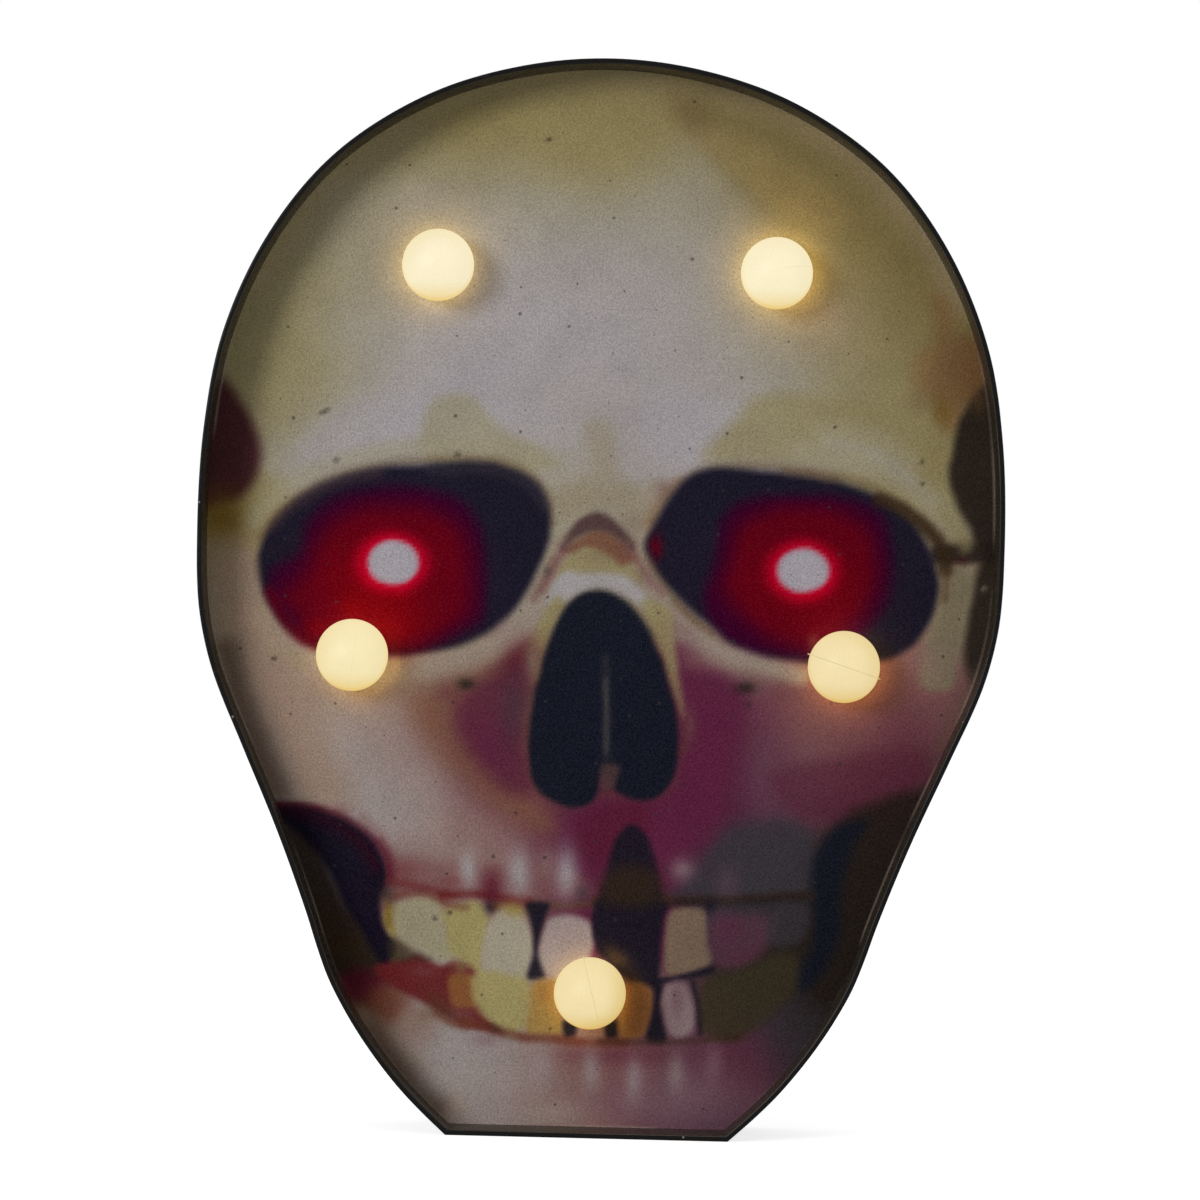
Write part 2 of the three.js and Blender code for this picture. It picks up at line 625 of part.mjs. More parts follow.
// A point on the panel between two lamps, at its own shares of the way across and the way up, and below that.
function between(from, to, [acrossShare, upShare], below = 0) {
  const lerp = THREE.MathUtils.lerp;
  return [lerp(from.across, to.across, acrossShare), onPanel, lerp(from.up, to.up, upShare) - below];
}

const towards = { left: [-1, 0], right: [1, 0], up: [0, 1], down: [0, -1] };
const cheekRunShares = [[0.44, 0.17], [0.71, 0.43], [0.93, 0.68]];
const foreheadRunShares = [[-0.03, 0.39], [0.42, 0.64]];
const halfShares = [0.5, 0.5];

makeLead("lead_mouth_to_cheek", [
  ...lampEnd(mouth, towards.left),
  ...cheekRunShares.map((shares) => between(mouth, cheekLeft, shares)),
  ...lampEnd(cheekLeft, towards.down).reverse(),
], leadRadius, lead.steps);
for (const [side, cheek, forehead] of [["left", cheekLeft, foreheadLeft], ["right", cheekRight, foreheadRight]]) {
  makeLead(`lead_cheek_to_forehead_${side}`, [
    ...lampEnd(cheek, towards.up),
    ...foreheadRunShares.map((shares) => between(cheek, forehead, shares)),
    ...lampEnd(forehead, towards.down).reverse(),
  ], leadRadius, lead.steps);
}
makeLead("lead_forehead_to_forehead", [
  ...lampEnd(foreheadLeft, towards.right),
  between(foreheadLeft, foreheadRight, halfShares, lead.sag),
  ...lampEnd(foreheadRight, towards.left).reverse(),
], leadRadius, lead.steps);

// The lead from the switch goes out through the box's notch and comes down to the mouth lamp.
const halfway = (a, b) => a.map((value, i) => (value + b[i]) / 2);
const pinEdge = slideSwitch.pinPitch + slideSwitch.pinSide / 2 + gap;
const pinDepth = switchFront - slideSwitch.pinLong / 2;
const switchUp = boxFoot + switchMiddle;
const notchDepth = boxFront + wireNotch.deep - leadRadius - gap;
const atPin = [-pinEdge, pinDepth, switchUp];
const besidePin = [(wireNotch.across - pinEdge) / 2, pinDepth, switchUp];
const insideNotch = [wireNotch.across, notchDepth, boxFoot + box.wall + wireNotch.insideRun];
const outsideNotch = [wireNotch.across, notchDepth, boxFoot - wireNotch.outsideRun];
const mouthEnd = lampEnd(mouth, towards.up).reverse();
makeLead("lead_box_to_mouth", [
  atPin, besidePin, insideNotch, outsideNotch, halfway(outsideNotch, mouthEnd[0]), ...mouthEnd,
], leadRadius, lead.shortSteps);

// The jumper goes from the positive contact's tail to the switch's other pin.
const tailTip = boxFoot + cellsFrom + contact.thickness - contact.tailLong;
const atTail = [contact.tailAcross, tailBack + gap + jumper.radius, tailTip + jumper.overlap];
const underTail = [contact.tailAcross - jumper.bend, tailBack + jumper.bend, tailTip - jumper.overlap];
const atOtherPin = [pinEdge, pinDepth, switchUp];
makeLead("switch_jumper", [atTail, underTail, halfway(underTail, atOtherPin), atOtherPin], jumper.radius, jumper.steps);

export default sign;
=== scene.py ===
import math

import bmesh
import bpy
import numpy as np
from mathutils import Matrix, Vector


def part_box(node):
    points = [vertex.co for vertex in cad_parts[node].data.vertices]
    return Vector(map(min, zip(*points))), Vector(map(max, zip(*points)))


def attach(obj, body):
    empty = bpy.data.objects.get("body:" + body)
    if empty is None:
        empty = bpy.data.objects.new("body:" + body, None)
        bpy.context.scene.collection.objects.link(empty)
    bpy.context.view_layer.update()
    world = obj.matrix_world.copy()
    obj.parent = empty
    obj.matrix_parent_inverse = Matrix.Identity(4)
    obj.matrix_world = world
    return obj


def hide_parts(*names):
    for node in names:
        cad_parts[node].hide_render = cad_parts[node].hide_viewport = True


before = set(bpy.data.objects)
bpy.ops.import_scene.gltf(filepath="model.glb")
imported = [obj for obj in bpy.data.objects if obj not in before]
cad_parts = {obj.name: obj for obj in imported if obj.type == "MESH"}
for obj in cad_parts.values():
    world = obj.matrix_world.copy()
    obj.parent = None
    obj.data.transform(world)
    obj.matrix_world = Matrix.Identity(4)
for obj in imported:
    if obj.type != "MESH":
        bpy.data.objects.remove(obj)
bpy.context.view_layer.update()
print("frame loaded:", len(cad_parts), "nodes")

mm = 0.001  # the script measures in millimetres, and Blender in metres
tiny = 1e-6  # what is below this counts as nothing
look = bpy.context.scene.view_settings
look.view_transform = "Standard"


def toLinear(colour):
    # A colour written as 0 to 255 to the linear values that shaders use
    c = np.asarray(colour, float) / 255
    return np.where(c <= 0.04045, c / 12.92, ((c + 0.055) / 1.055) ** 2.4)


def rgba(colour):
    return (*[float(v) for v in toLinear(colour)], 1.0)


def newObject(name, data):
    obj = bpy.data.objects.new(name, data)
    bpy.context.scene.collection.objects.link(obj)
    return obj


def sharpen(mesh, angle=35):
    # Smooth shading, with a crease where faces meet at more than an angle
    mesh.shade_smooth()
    mesh.set_sharp_from_angle(angle=math.radians(angle))


def meshObject(name, verts, faces, body="sign", smoothAngle=35):
    mesh = bpy.data.meshes.new(name)
    mesh.from_pydata([tuple(v) for v in verts], [], faces)
    mesh.validate()
    return finishMesh(name, mesh, body, smoothAngle)


def finishMesh(name, mesh, body="sign", smoothAngle=35):
    shape = bmesh.new()
    shape.from_mesh(mesh)
    bmesh.ops.recalc_face_normals(shape, faces=shape.faces)
    shape.to_mesh(mesh)
    shape.free()
    obj = newObject(name, mesh)
    sharpen(mesh, smoothAngle)
    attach(obj, body)
    return obj


def pointColours(mesh, name, values):
    # A colour for each point, which the material reads
    layer = mesh.color_attributes.new(name, "FLOAT_COLOR", "POINT")
    layer.data.foreach_set("color", np.asarray(values, float).ravel())


def joinShapes(*shapes):
    # Several (verts, faces) as one
    verts, faces = [], []
    for some, theirs in shapes:
        start = len(verts)
        verts += [tuple(v) for v in some]
        faces += [tuple(start + i for i in face) for face in theirs]
    return verts, faces


def facesBetween(rings, sides, closed=False):
    # Faces from each ring of points to the next, and from the last to the first where closed
    faces = []
    for k in range(rings if closed else rings - 1):
        n = (k + 1) % rings
        for i in range(sides):
            j = (i + 1) % sides
            faces.append((k * sides + i, k * sides + j, n * sides + j, n * sides + i))
    return faces


def lathe(profile, sides, centre=(0, 0, 0)):
    # A closed profile of (radius, y) in mm turned about the Y axis through a centre in metres
    verts, rings = [], []
    for radius, y in profile:
        count = 1 if radius < tiny else sides
        rings.append([len(verts) + i for i in range(count)])
        for i in range(count):
            angle = 2 * math.pi * i / sides
            verts.append((centre[0] + radius * mm * math.cos(angle), centre[1] + y * mm,
                          centre[2] + radius * mm * math.sin(angle)))
    faces = []
    for a, b in zip(rings, rings[1:] + rings[:1]):
        if len(a) == 1 and len(b) == 1:
            continue
        for i in range(sides):
            j = (i + 1) % sides
            ring = [a[i % len(a)], a[j % len(a)], b[j % len(b)], b[i % len(b)]]
            faces.append(tuple(dict.fromkeys(ring)))
    return verts, faces


def tubeAlong(points, radius, sides, across=(0.31, 0.87, 0.38)):
    # A round tube with capped ends along points in metres. The radius in mm may change along it, and across
    # is a direction that the tube never runs in.
    points = np.asarray(points, float)
    radii = np.broadcast_to(radius, len(points)) * mm
    along = np.gradient(points, axis=0)
    along /= np.linalg.norm(along, axis=1)[:, None]
    side = np.cross(along, across)
    side /= np.linalg.norm(side, axis=1)[:, None]
    up = np.cross(side, along)
    verts = []
    for p, s, u, r in zip(points, side, up, radii):
        for i in range(sides):
            angle = 2 * math.pi * i / sides
            verts.append(p + r * (math.cos(angle) * s + math.sin(angle) * u))
    caps = [tuple(range(sides)), tuple(range((len(points) - 1) * sides, len(points) * sides))]
    return verts, facesBetween(len(points), sides) + caps


def throughPoints(points, steps, closed=False):
    # A smooth curve through points, with a number of steps between each two
    p = np.asarray(points, float)
    if closed:
        p = np.vstack([p[-1], p, p[0], p[1]])
    else:
        p = np.vstack([2 * p[0] - p[1], p, 2 * p[-1] - p[-2]])
    out = []
    for a, b, c, d in zip(p[:-3], p[1:-2], p[2:-1], p[3:]):
        gaps = [max(np.linalg.norm(q - r) ** 0.5, tiny) for q, r in ((b, a), (c, b), (d, c))]
        leave = gaps[1] * ((b - a) / gaps[0] - (c - a) / (gaps[0] + gaps[1]) + (c - b) / gaps[1])
        arrive = gaps[1] * ((c - b) / gaps[1] - (d - b) / (gaps[1] + gaps[2]) + (d - c) / gaps[2])
        for t in np.arange(steps) / steps:
            out.append(b + leave * t + (3 * (c - b) - 2 * leave - arrive) * t ** 2
                       + (2 * (b - c) + leave + arrive) * t ** 3)
    if not closed:
        out.append(p[-2])
    return np.array(out)


def frontLoop(node):
    # The outer loop of a frame node's front edge as (x, z) in metres, from the foot's right end upwards
    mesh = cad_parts[node].data
    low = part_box(node)[0].y + tiny
    links = {}
    for polygon in mesh.polygons:
        if abs(polygon.normal.y) > 0.5:
            continue
        ring = [mesh.vertices[i].co for i in polygon.vertices]
        for a, b in zip(ring, ring[1:] + ring[:1]):
            if a.y < low and b.y < low:
                a, b = (round(a.x, 6), round(a.z, 6)), (round(b.x, 6), round(b.z, 6))
                links.setdefault(a, set()).add(b)
                links.setdefault(b, set()).add(a)
    loops = []
    left = set(links)
    while left:
        loop = [min(left)]
        left.discard(loop[0])
        while True:
            onward = [q for q in sorted(links[loop[-1]]) if q in left]
            if not onward:
                break
            loop.append(onward[0])
            left.discard(onward[0])
        loops.append(loop)
    outer = max(loops, key=lambda loop: max(x for x, z in loop))
    start = max(range(len(outer)), key=lambda i: (outer[i][1] < tiny, outer[i][0]))
    outer = outer[start:] + outer[:start]
    if outer[1][1] < tiny:
        outer = [outer[0]] + outer[:0:-1]
    return np.array(outer)


def inset(loop, distance):
    # A closed loop of (x, z) moved inwards by a distance in metres, with mitred corners
    before = loop - np.roll(loop, 1, axis=0)
    after = np.roll(loop, -1, axis=0) - loop
    before /= np.linalg.norm(before, axis=1)[:, None]
    after /= np.linalg.norm(after, axis=1)[:, None]
    both = before + after
    inward = np.stack([-both[:, 1], both[:, 0]], axis=1)
    inward /= np.linalg.norm(inward, axis=1)[:, None]
    mitre = distance / np.sqrt((1 + (before * after).sum(axis=1)) / 2)
    return loop + inward * mitre[:, None]


def sweep(loop, profile):
    # A closed profile of (inset, y) in mm carried round a loop of (x, z)
    verts = []
    for distance, y in profile:
        verts += [(x, y * mm, z) for x, z in inset(loop, distance * mm)]
    return verts, facesBetween(len(profile), len(loop), closed=True)


def circle(centre, radius, sides=48):
    angles = 2 * np.pi * np.arange(sides) / sides
    return np.stack([centre[0] + radius * np.cos(angles), centre[1] + radius * np.sin(angles)], axis=1)


def holedPlate(loops, y0, y1):
    # A plate between two depths in mm whose first loop is its edge and the others are its holes
    shape = bmesh.new()
    for loop in loops:
        ring = [shape.verts.new((x, y0 * mm, z)) for x, z in loop]
        for a, b in zip(ring, ring[1:] + ring[:1]):
            shape.edges.new((a, b))
    bmesh.ops.triangle_fill(shape, use_beauty=True, edges=shape.edges[:])
    grown = bmesh.ops.extrude_face_region(shape, geom=shape.faces[:])
    for item in grown["geom"]:
        if isinstance(item, bmesh.types.BMVert):
            item.co.y = y1 * mm
    shape.verts.index_update()
    verts = [tuple(v.co) for v in shape.verts]
    faces = [tuple(v.index for v in face.verts) for face in shape.faces]
    shape.free()
    return verts, faces


def give(tree, made, inputs):
    # Links and values for a node's sockets
    for name, value in inputs.items():
        if isinstance(value, bpy.types.NodeSocket):
            tree.links.new(value, made.inputs[name])
        else:
            made.inputs[name].default_value = value


# Short names for the shader nodes that the materials are made of
def node(tree, kind, inputs=None, **settings):
    made = tree.nodes.new(kind)
    for name, value in settings.items():
        setattr(made, name, value)
    give(tree, made, inputs or {})
    return made


def maths(tree, operation, a, b=0.0, clamp=False):
    return node(tree, "ShaderNodeMath", {0: a, 1: b}, operation=operation, use_clamp=clamp).outputs[0]


def times(tree, a, b):
    return maths(tree, "MULTIPLY", a, b)


def vectorMaths(tree, operation, a, b=(0, 0, 0)):
    return node(tree, "ShaderNodeVectorMath", {0: a, 1: b}, operation=operation).outputs


def mixColour(tree, factor, a, b, blend="MIX"):
    inputs = {0: factor, 6: a, 7: b}
    return node(tree, "ShaderNodeMix", inputs, data_type="RGBA", blend_type=blend).outputs[2]


def ramp(tree, value, low, high, toLow=0.0, toHigh=1.0):
    return node(tree, "ShaderNodeMapRange", {"Value": value, "From Min": low, "From Max": high,
                                             "To Min": toLow, "To Max": toHigh}).outputs["Result"]


def noise(tree, place, scale, detail=2.0):
    return node(tree, "ShaderNodeTexNoise", {"Vector": place, "Scale": scale, "Detail": detail}).outputs[0]


def objectPlace(tree):
    return tree.nodes.new("ShaderNodeTexCoord").outputs["Object"]


def split(tree, place):
    return node(tree, "ShaderNodeSeparateXYZ", {0: place}).outputs


def joined(tree, x, y, z=0.0):
    return node(tree, "ShaderNodeCombineXYZ", {0: x, 1: y, 2: z}).outputs[0]


def pointValue(tree, name, output="Fac"):
    # What pointColours has kept
    return node(tree, "ShaderNodeAttribute", attribute_name=name).outputs[output]


def newGroup(name, inputs, outputs):
    group = bpy.data.node_groups.new(name, "ShaderNodeTree")
    for socketName, default in inputs.items():
        socket = group.interface.new_socket(socketName, in_out="INPUT", socket_type="NodeSocketFloat")
        socket.default_value = default
    for socketName in outputs:
        group.interface.new_socket(socketName, in_out="OUTPUT", socket_type="NodeSocketFloat")
    return group, group.nodes.new("NodeGroupInput").outputs, group.nodes.new("NodeGroupOutput").inputs


def makeGrainGroup():
    # Fine mottling with clouds in it: a tint about 1 for colours and a height for bump
    cloudShare, cloudDetail, contrast = 0.035, 3.0, 4.0
    inputs = {"Scale": 2000.0, "Depth": 0.06, "Clouds": 0.3}
    group, given, out = newGroup("fineGrain", inputs, ["Tint", "Height"])
    place = objectPlace(group)
    fine = noise(group, place, given["Scale"])
    coarse = noise(group, place, times(group, given["Scale"], cloudShare), cloudDetail)
    cloud = times(group, maths(group, "SUBTRACT", coarse, 0.5), given["Clouds"])
    both = maths(group, "ADD", maths(group, "SUBTRACT", fine, 0.5), cloud)
    tint = times(group, both, times(group, given["Depth"], contrast))
    group.links.new(maths(group, "ADD", tint, 1.0), out["Tint"])
    group.links.new(fine, out["Height"])
    return group


def makeSpeckGroup(name, flat):
    # Scattered dots: Scale is dots per metre, Size a share of their pitch, Share how many places hold one.
    # The flat kind lies in the plane of the print, where a slice through the other would miss most dots.
    smallest, softShare = 0.35, 0.6
    group, given, out = newGroup(name, {"Scale": 150.0, "Size": 0.08, "Share": 0.4}, ["Mask"])
    place = objectPlace(group)
    if flat:
        parts = split(group, place)
        place = joined(group, parts["X"], parts["Z"])
    cells = node(group, "ShaderNodeTexVoronoi", {"Vector": place, "Scale": given["Scale"]},
                 voronoi_dimensions="2D" if flat else "3D")
    pick = node(group, "ShaderNodeSeparateColor", {"Color": cells.outputs["Color"]})
    chosen = maths(group, "LESS_THAN", pick.outputs[0], given["Share"])
    size = times(group, given["Size"], ramp(group, pick.outputs[1], 0, 1, smallest, 1))
    dot = ramp(group, maths(group, "DIVIDE", cells.outputs["Distance"], size), 1.0, softShare)
    group.links.new(times(group, dot, chosen), out["Mask"])
    return group


def makeScuffGroup():
    # Long thin scratches, where rubbed clouds let them show
    streak = {"Rotation": (0.3, 0.5, 0.4), "Scale": (1.0, 9.0, 7.0)}
    lineDetail, lineRange = 5.0, (0.62, 0.72)
    cloudShare, cloudRange = 0.6, (0.48, 0.7)
    group, given, out = newGroup("scuffs", {"Scale": 60.0, "Amount": 0.3}, ["Mask"])
    place = objectPlace(group)
    turned = node(group, "ShaderNodeMapping", {"Vector": place, **streak}).outputs[0]
    line = ramp(group, noise(group, turned, given["Scale"], lineDetail), *lineRange)
    cloud = ramp(group, noise(group, place, times(group, given["Scale"], cloudShare)), *cloudRange)
    group.links.new(times(group, times(group, line, cloud), given["Amount"]), out["Mask"])
    return group


def makeDustGroup():
    # Dust that lies on what faces up
    detail, upRange, cloudRange = 4.0, (0.2, 0.9), (0.4, 0.7)
    group, given, out = newGroup("dust", {"Scale": 900.0, "Amount": 0.3}, ["Mask"])
    facing = split(group, group.nodes.new("ShaderNodeNewGeometry").outputs["Normal"])
    clouds = noise(group, objectPlace(group), given["Scale"], detail)
    lies = times(group, ramp(group, facing["Z"], *upRange), ramp(group, clouds, *cloudRange))
    group.links.new(times(group, lies, given["Amount"]), out["Mask"])
    return group


groups = {
    "grain": makeGrainGroup(), "specks": makeSpeckGroup("specks", False),
    "flatSpecks": makeSpeckGroup("flatSpecks", True), "scuffs": makeScuffGroup(), "dust": makeDustGroup(),
}


def use(tree, name, **inputs):
    return node(tree, "ShaderNodeGroup", inputs, node_tree=groups[name]).outputs


def mask(tree, name, **inputs):
    return use(tree, name, **inputs)["Mask"]


def newMaterial(name):
    material = bpy.data.materials.new(name)
    material.use_nodes = True
    tree = material.node_tree
    shader = next(n for n in tree.nodes if n.type == "BSDF_PRINCIPLED")
    return material, tree, shader


def tinted(tree, colour, grain):
    return mixColour(tree, 1.0, colour, grain["Tint"], "MULTIPLY")


def roughness(tree, grain, low, high, duller=0.0):
    # Roughness that changes with the grain, and more of it where the face is dull
    heights = (0.3, 0.7)
    return maths(tree, "ADD", ramp(tree, grain["Height"], *heights, low, high), duller, clamp=True)


def bump(tree, grain, distance, strength=0.5):
    return node(tree, "ShaderNodeBump", {"Height": grain["Height"], "Distance": distance * mm,
                                         "Strength": strength}).outputs[0]


wornPlastic = {"clouds": 0.8, "scuffScale": 70.0, "dustScale": 800.0, "dust": 0.15, "dulling": 0.5,
               "dustInk": (150, 144, 134), "smoother": 0.04, "rougher": 0.06, "coatRoughness": 0.12}
platedSteel = {"grain": {"Scale": 900.0, "Depth": 0.08, "Clouds": 1.0}, "relief": 0.02, "dulling": 0.25,
               "spots": {"Scale": 700.0, "Size": 0.35, "Share": 0.35}, "spotShare": 0.4,
               "spotInk": (120, 112, 100), "smoother": 0.08, "rougher": 0.1}


def plastic(name, colour, wear, rough, grain=1500.0, tint=0.05, relief=0.03, scuffs=0.25, coat=0.0):
    # Moulded plastic: mottled colour, scuffs that show a paler and duller material, a little dust on top
    d = wornPlastic
    material, tree, shader = newMaterial(name)
    fine = use(tree, "grain", Scale=grain, Depth=tint, Clouds=d["clouds"])
    rubbed = mask(tree, "scuffs", Scale=d["scuffScale"], Amount=scuffs)
    dusty = mask(tree, "dust", Scale=d["dustScale"], Amount=d["dust"])
    worn = mixColour(tree, rubbed, tinted(tree, rgba(colour), fine), rgba(wear))
    dull = times(tree, maths(tree, "ADD", rubbed, dusty), d["dulling"])
    give(tree, shader, {
        "Base Color": mixColour(tree, dusty, worn, rgba(d["dustInk"])),
        "Roughness": roughness(tree, fine, rough - d["smoother"], rough + d["rougher"], dull),
        "Coat Weight": coat, "Coat Roughness": d["coatRoughness"], "Normal": bump(tree, fine, relief)})
    return material


def metal(name, colour, rough):
    # Plated steel with a brushed tint and dull spots
    d = platedSteel
    material, tree, shader = newMaterial(name)
    fine = use(tree, "grain", **d["grain"])
    spots = mask(tree, "specks", **d["spots"])
    shade = tinted(tree, rgba(colour), fine)
    shade = mixColour(tree, times(tree, spots, d["spotShare"]), shade, rgba(d["spotInk"]))
    dull = times(tree, spots, d["dulling"])
    give(tree, shader, {
        "Base Color": shade, "Metallic": 1.0, "Normal": bump(tree, fine, d["relief"]),
        "Roughness": roughness(tree, fine, rough - d["smoother"], rough + d["rougher"], dull)})
    return material


# The moulded frame: its wall with rounded edges, the panel behind the print, and bosses for the screws
mouldedFrame = {
    "wall": 1.1, "frontEdge": 0.32, "rearEdge": 0.2, "edgeSteps": 4, "stepsPerEdge": 4,
    "panelFront": -3.05, "panelBack": -1.65, "panelGrip": 0.4, "neckHole": 4.2,
    "bossRadius": 3.2, "pilotRadius": 1.4, "bossBack": 10.1, "bosses": 6, "bossSides": 32,
    # Painted light: the inner wall is inked paler than the front, as if lit by the print and the balls
    "ink": (15, 14, 14), "innerWallLitInk": (44, 38, 31), "grain": {"Scale": 700.0, "Depth": 0.1, "Clouds": 0.8},
    # Painted highlight: a pale line along the inner front edge, broken up in places
    "edgeHighlightInk": (98, 90, 81), "highlightRange": (0.35, 0.9), "highlightBreaks": 40.0, "breakDetail": 3.0,
    "breakRange": (0.4, 0.6), "breakShares": (0.15, 0.8),
    "scuffs": {"Scale": 90.0, "Amount": 0.22}, "scuffInk": (88, 80, 74),
    "flecks": {"Scale": 260.0, "Size": 0.09, "Share": 0.3}, "fleckInk": (150, 140, 126), "fleckShare": 0.55,
    "dust": {"Scale": 1400.0, "Amount": 0.1}, "dustInk": (140, 132, 120), "dulling": 0.5,
    "roughness": (0.2, 0.3), "shine": 0.07, "relief": 0.02, "chipInk": (206, 184, 150), "chipShare": 0.8,
    # Pale chips: the place of each on the rim, and how far it reaches
    "chips": {(-77.9, -4.1, 108.2): (0.45, 0.5, 1.3), (-78.0, -4.6, 111.3): (0.25, 0.3, 1.5)},
}
coarseLoop = frontLoop("front_frame")
fineLoop = throughPoints(coarseLoop, mouldedFrame["stepsPerEdge"])
lampNames = ["forehead_left", "forehead_right", "cheek_left", "cheek_right", "mouth"]


def middleOf(nodeName):
    low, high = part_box(nodeName)
    return (low + high) / 2


lampPlaces = {name: middleOf(f"globe_{name}") for name in lampNames}
frontRim, rearRim = [corner.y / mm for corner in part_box("front_frame")]


def roundedBar(width, y0, y1, frontEdge, rearEdge, steps):
    # The wall's section as (inset, y), with rounded front and rear edges
    corners = [
        ((frontEdge, y0 + frontEdge), frontEdge, 180), ((width - frontEdge, y0 + frontEdge), frontEdge, 270),
        ((width - rearEdge, y1 - rearEdge), rearEdge, 0), ((rearEdge, y1 - rearEdge), rearEdge, 90),
    ]
    section = []
    for (x, y), radius, start in corners:
        for i in range(steps + 1):
            angle = math.radians(start + 90 * i / steps)
            section.append((x + radius * math.cos(angle), y + radius * math.sin(angle)))
    return section


def makeFrame(d):
    bar = roundedBar(d["wall"], frontRim, rearRim, d["frontEdge"], d["rearEdge"], d["edgeSteps"])
    wall = sweep(fineLoop, bar)
    holes = [circle((p.x, p.z), d["neckHole"] * mm) for p in lampPlaces.values()]
    edge = inset(fineLoop, (d["wall"] - d["panelGrip"]) * mm)
    panel = holedPlate([edge, *holes], d["panelFront"], d["panelBack"])
    root = d["panelBack"] - d["panelGrip"]
    section = ((0, root), (d["bossRadius"], root), (d["bossRadius"], d["bossBack"]),
               (d["pilotRadius"], d["bossBack"]), (d["pilotRadius"], d["panelBack"]), (0, d["panelBack"]))
    places = [middleOf(f"cover_screw_{i + 1}") for i in range(d["bosses"])]
    bosses = [lathe(section, d["bossSides"], (place.x, 0, place.z)) for place in places]
    obj = meshObject("mouldedFrame", *joinShapes(wall, panel, *bosses), smoothAngle=40)
    # The rings of the wall's section on the front edge's inner side, and on the face that looks inwards
    innerEdge = d["edgeSteps"] + 1 + d["edgeSteps"] // 2
    # The inner front edge's ring takes a painted highlight, and the face that looks inwards painted light
    rings = {"paintedHighlightEdge": (innerEdge, innerEdge + 1),
             "innerFace": (innerEdge + 1, innerEdge + 2 + d["edgeSteps"])}
    for name, (first, last) in rings.items():
        marked = np.zeros((len(obj.data.vertices), 4))
        marked[first * len(fineLoop):last * len(fineLoop)] = 1
        pointColours(obj.data, name, marked)
    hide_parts("front_frame")
    return obj


def chipMask(tree, chips):
    # Where the chips are. Each is full within this share of its reach.
    fullShare = 0.7
    masks = []
    for place, reach in chips.items():
        apart = vectorMaths(tree, "SUBTRACT", objectPlace(tree), tuple(v * mm for v in place))["Vector"]
        shares = vectorMaths(tree, "DIVIDE", apart, tuple(v * mm for v in reach))["Vector"]
        masks.append(ramp(tree, vectorMaths(tree, "LENGTH", shares)["Value"], 1.0, fullShare))
    either = masks[0]
    for other in masks[1:]:
        either = maths(tree, "MAXIMUM", either, other)
    return either


def frameMaterial(d):
    # Glossy black moulding with hairline scuffs, a broken painted highlight on its inner edge, and a few pale
    # chips
    material, tree, shader = newMaterial("glossBlackMoulding")
    fine = use(tree, "grain", **d["grain"])
    rubbed = mask(tree, "scuffs", **d["scuffs"])
    dusty = mask(tree, "dust", **d["dust"])
    flecks = times(tree, mask(tree, "specks", **d["flecks"]), d["fleckShare"])
    breaks = noise(tree, objectPlace(tree), d["highlightBreaks"], d["breakDetail"])
    breaks = ramp(tree, breaks, *d["breakRange"], *d["breakShares"])
    # Painted highlight along the inner front edge
    edge = times(tree, ramp(tree, pointValue(tree, "paintedHighlightEdge"), *d["highlightRange"]), breaks)
    chips = times(tree, chipMask(tree, d["chips"]), d["chipShare"])
    # Painted light: the face that looks inwards takes the paler ink
    shade = mixColour(tree, pointValue(tree, "innerFace"), rgba(d["ink"]), rgba(d["innerWallLitInk"]))
    shade = tinted(tree, shade, fine)
    for where, ink in ((edge, "edgeHighlightInk"), (rubbed, "scuffInk"), (flecks, "fleckInk"), (dusty, "dustInk"),
                       (chips, "chipInk")):
        shade = mixColour(tree, where, shade, rgba(d[ink]))
    dull = times(tree, maths(tree, "ADD", rubbed, dusty), d["dulling"])
    give(tree, shader, {
        "Base Color": shade, "Roughness": roughness(tree, fine, *d["roughness"], dull),
        "Specular IOR Level": d["shine"], "Normal": bump(tree, fine, d["relief"])})
    return material


frameObject = makeFrame(mouldedFrame)
frameObject.data.materials.append(frameMaterial(mouldedFrame))
print("frame made:", len(frameObject.data.polygons), "faces")

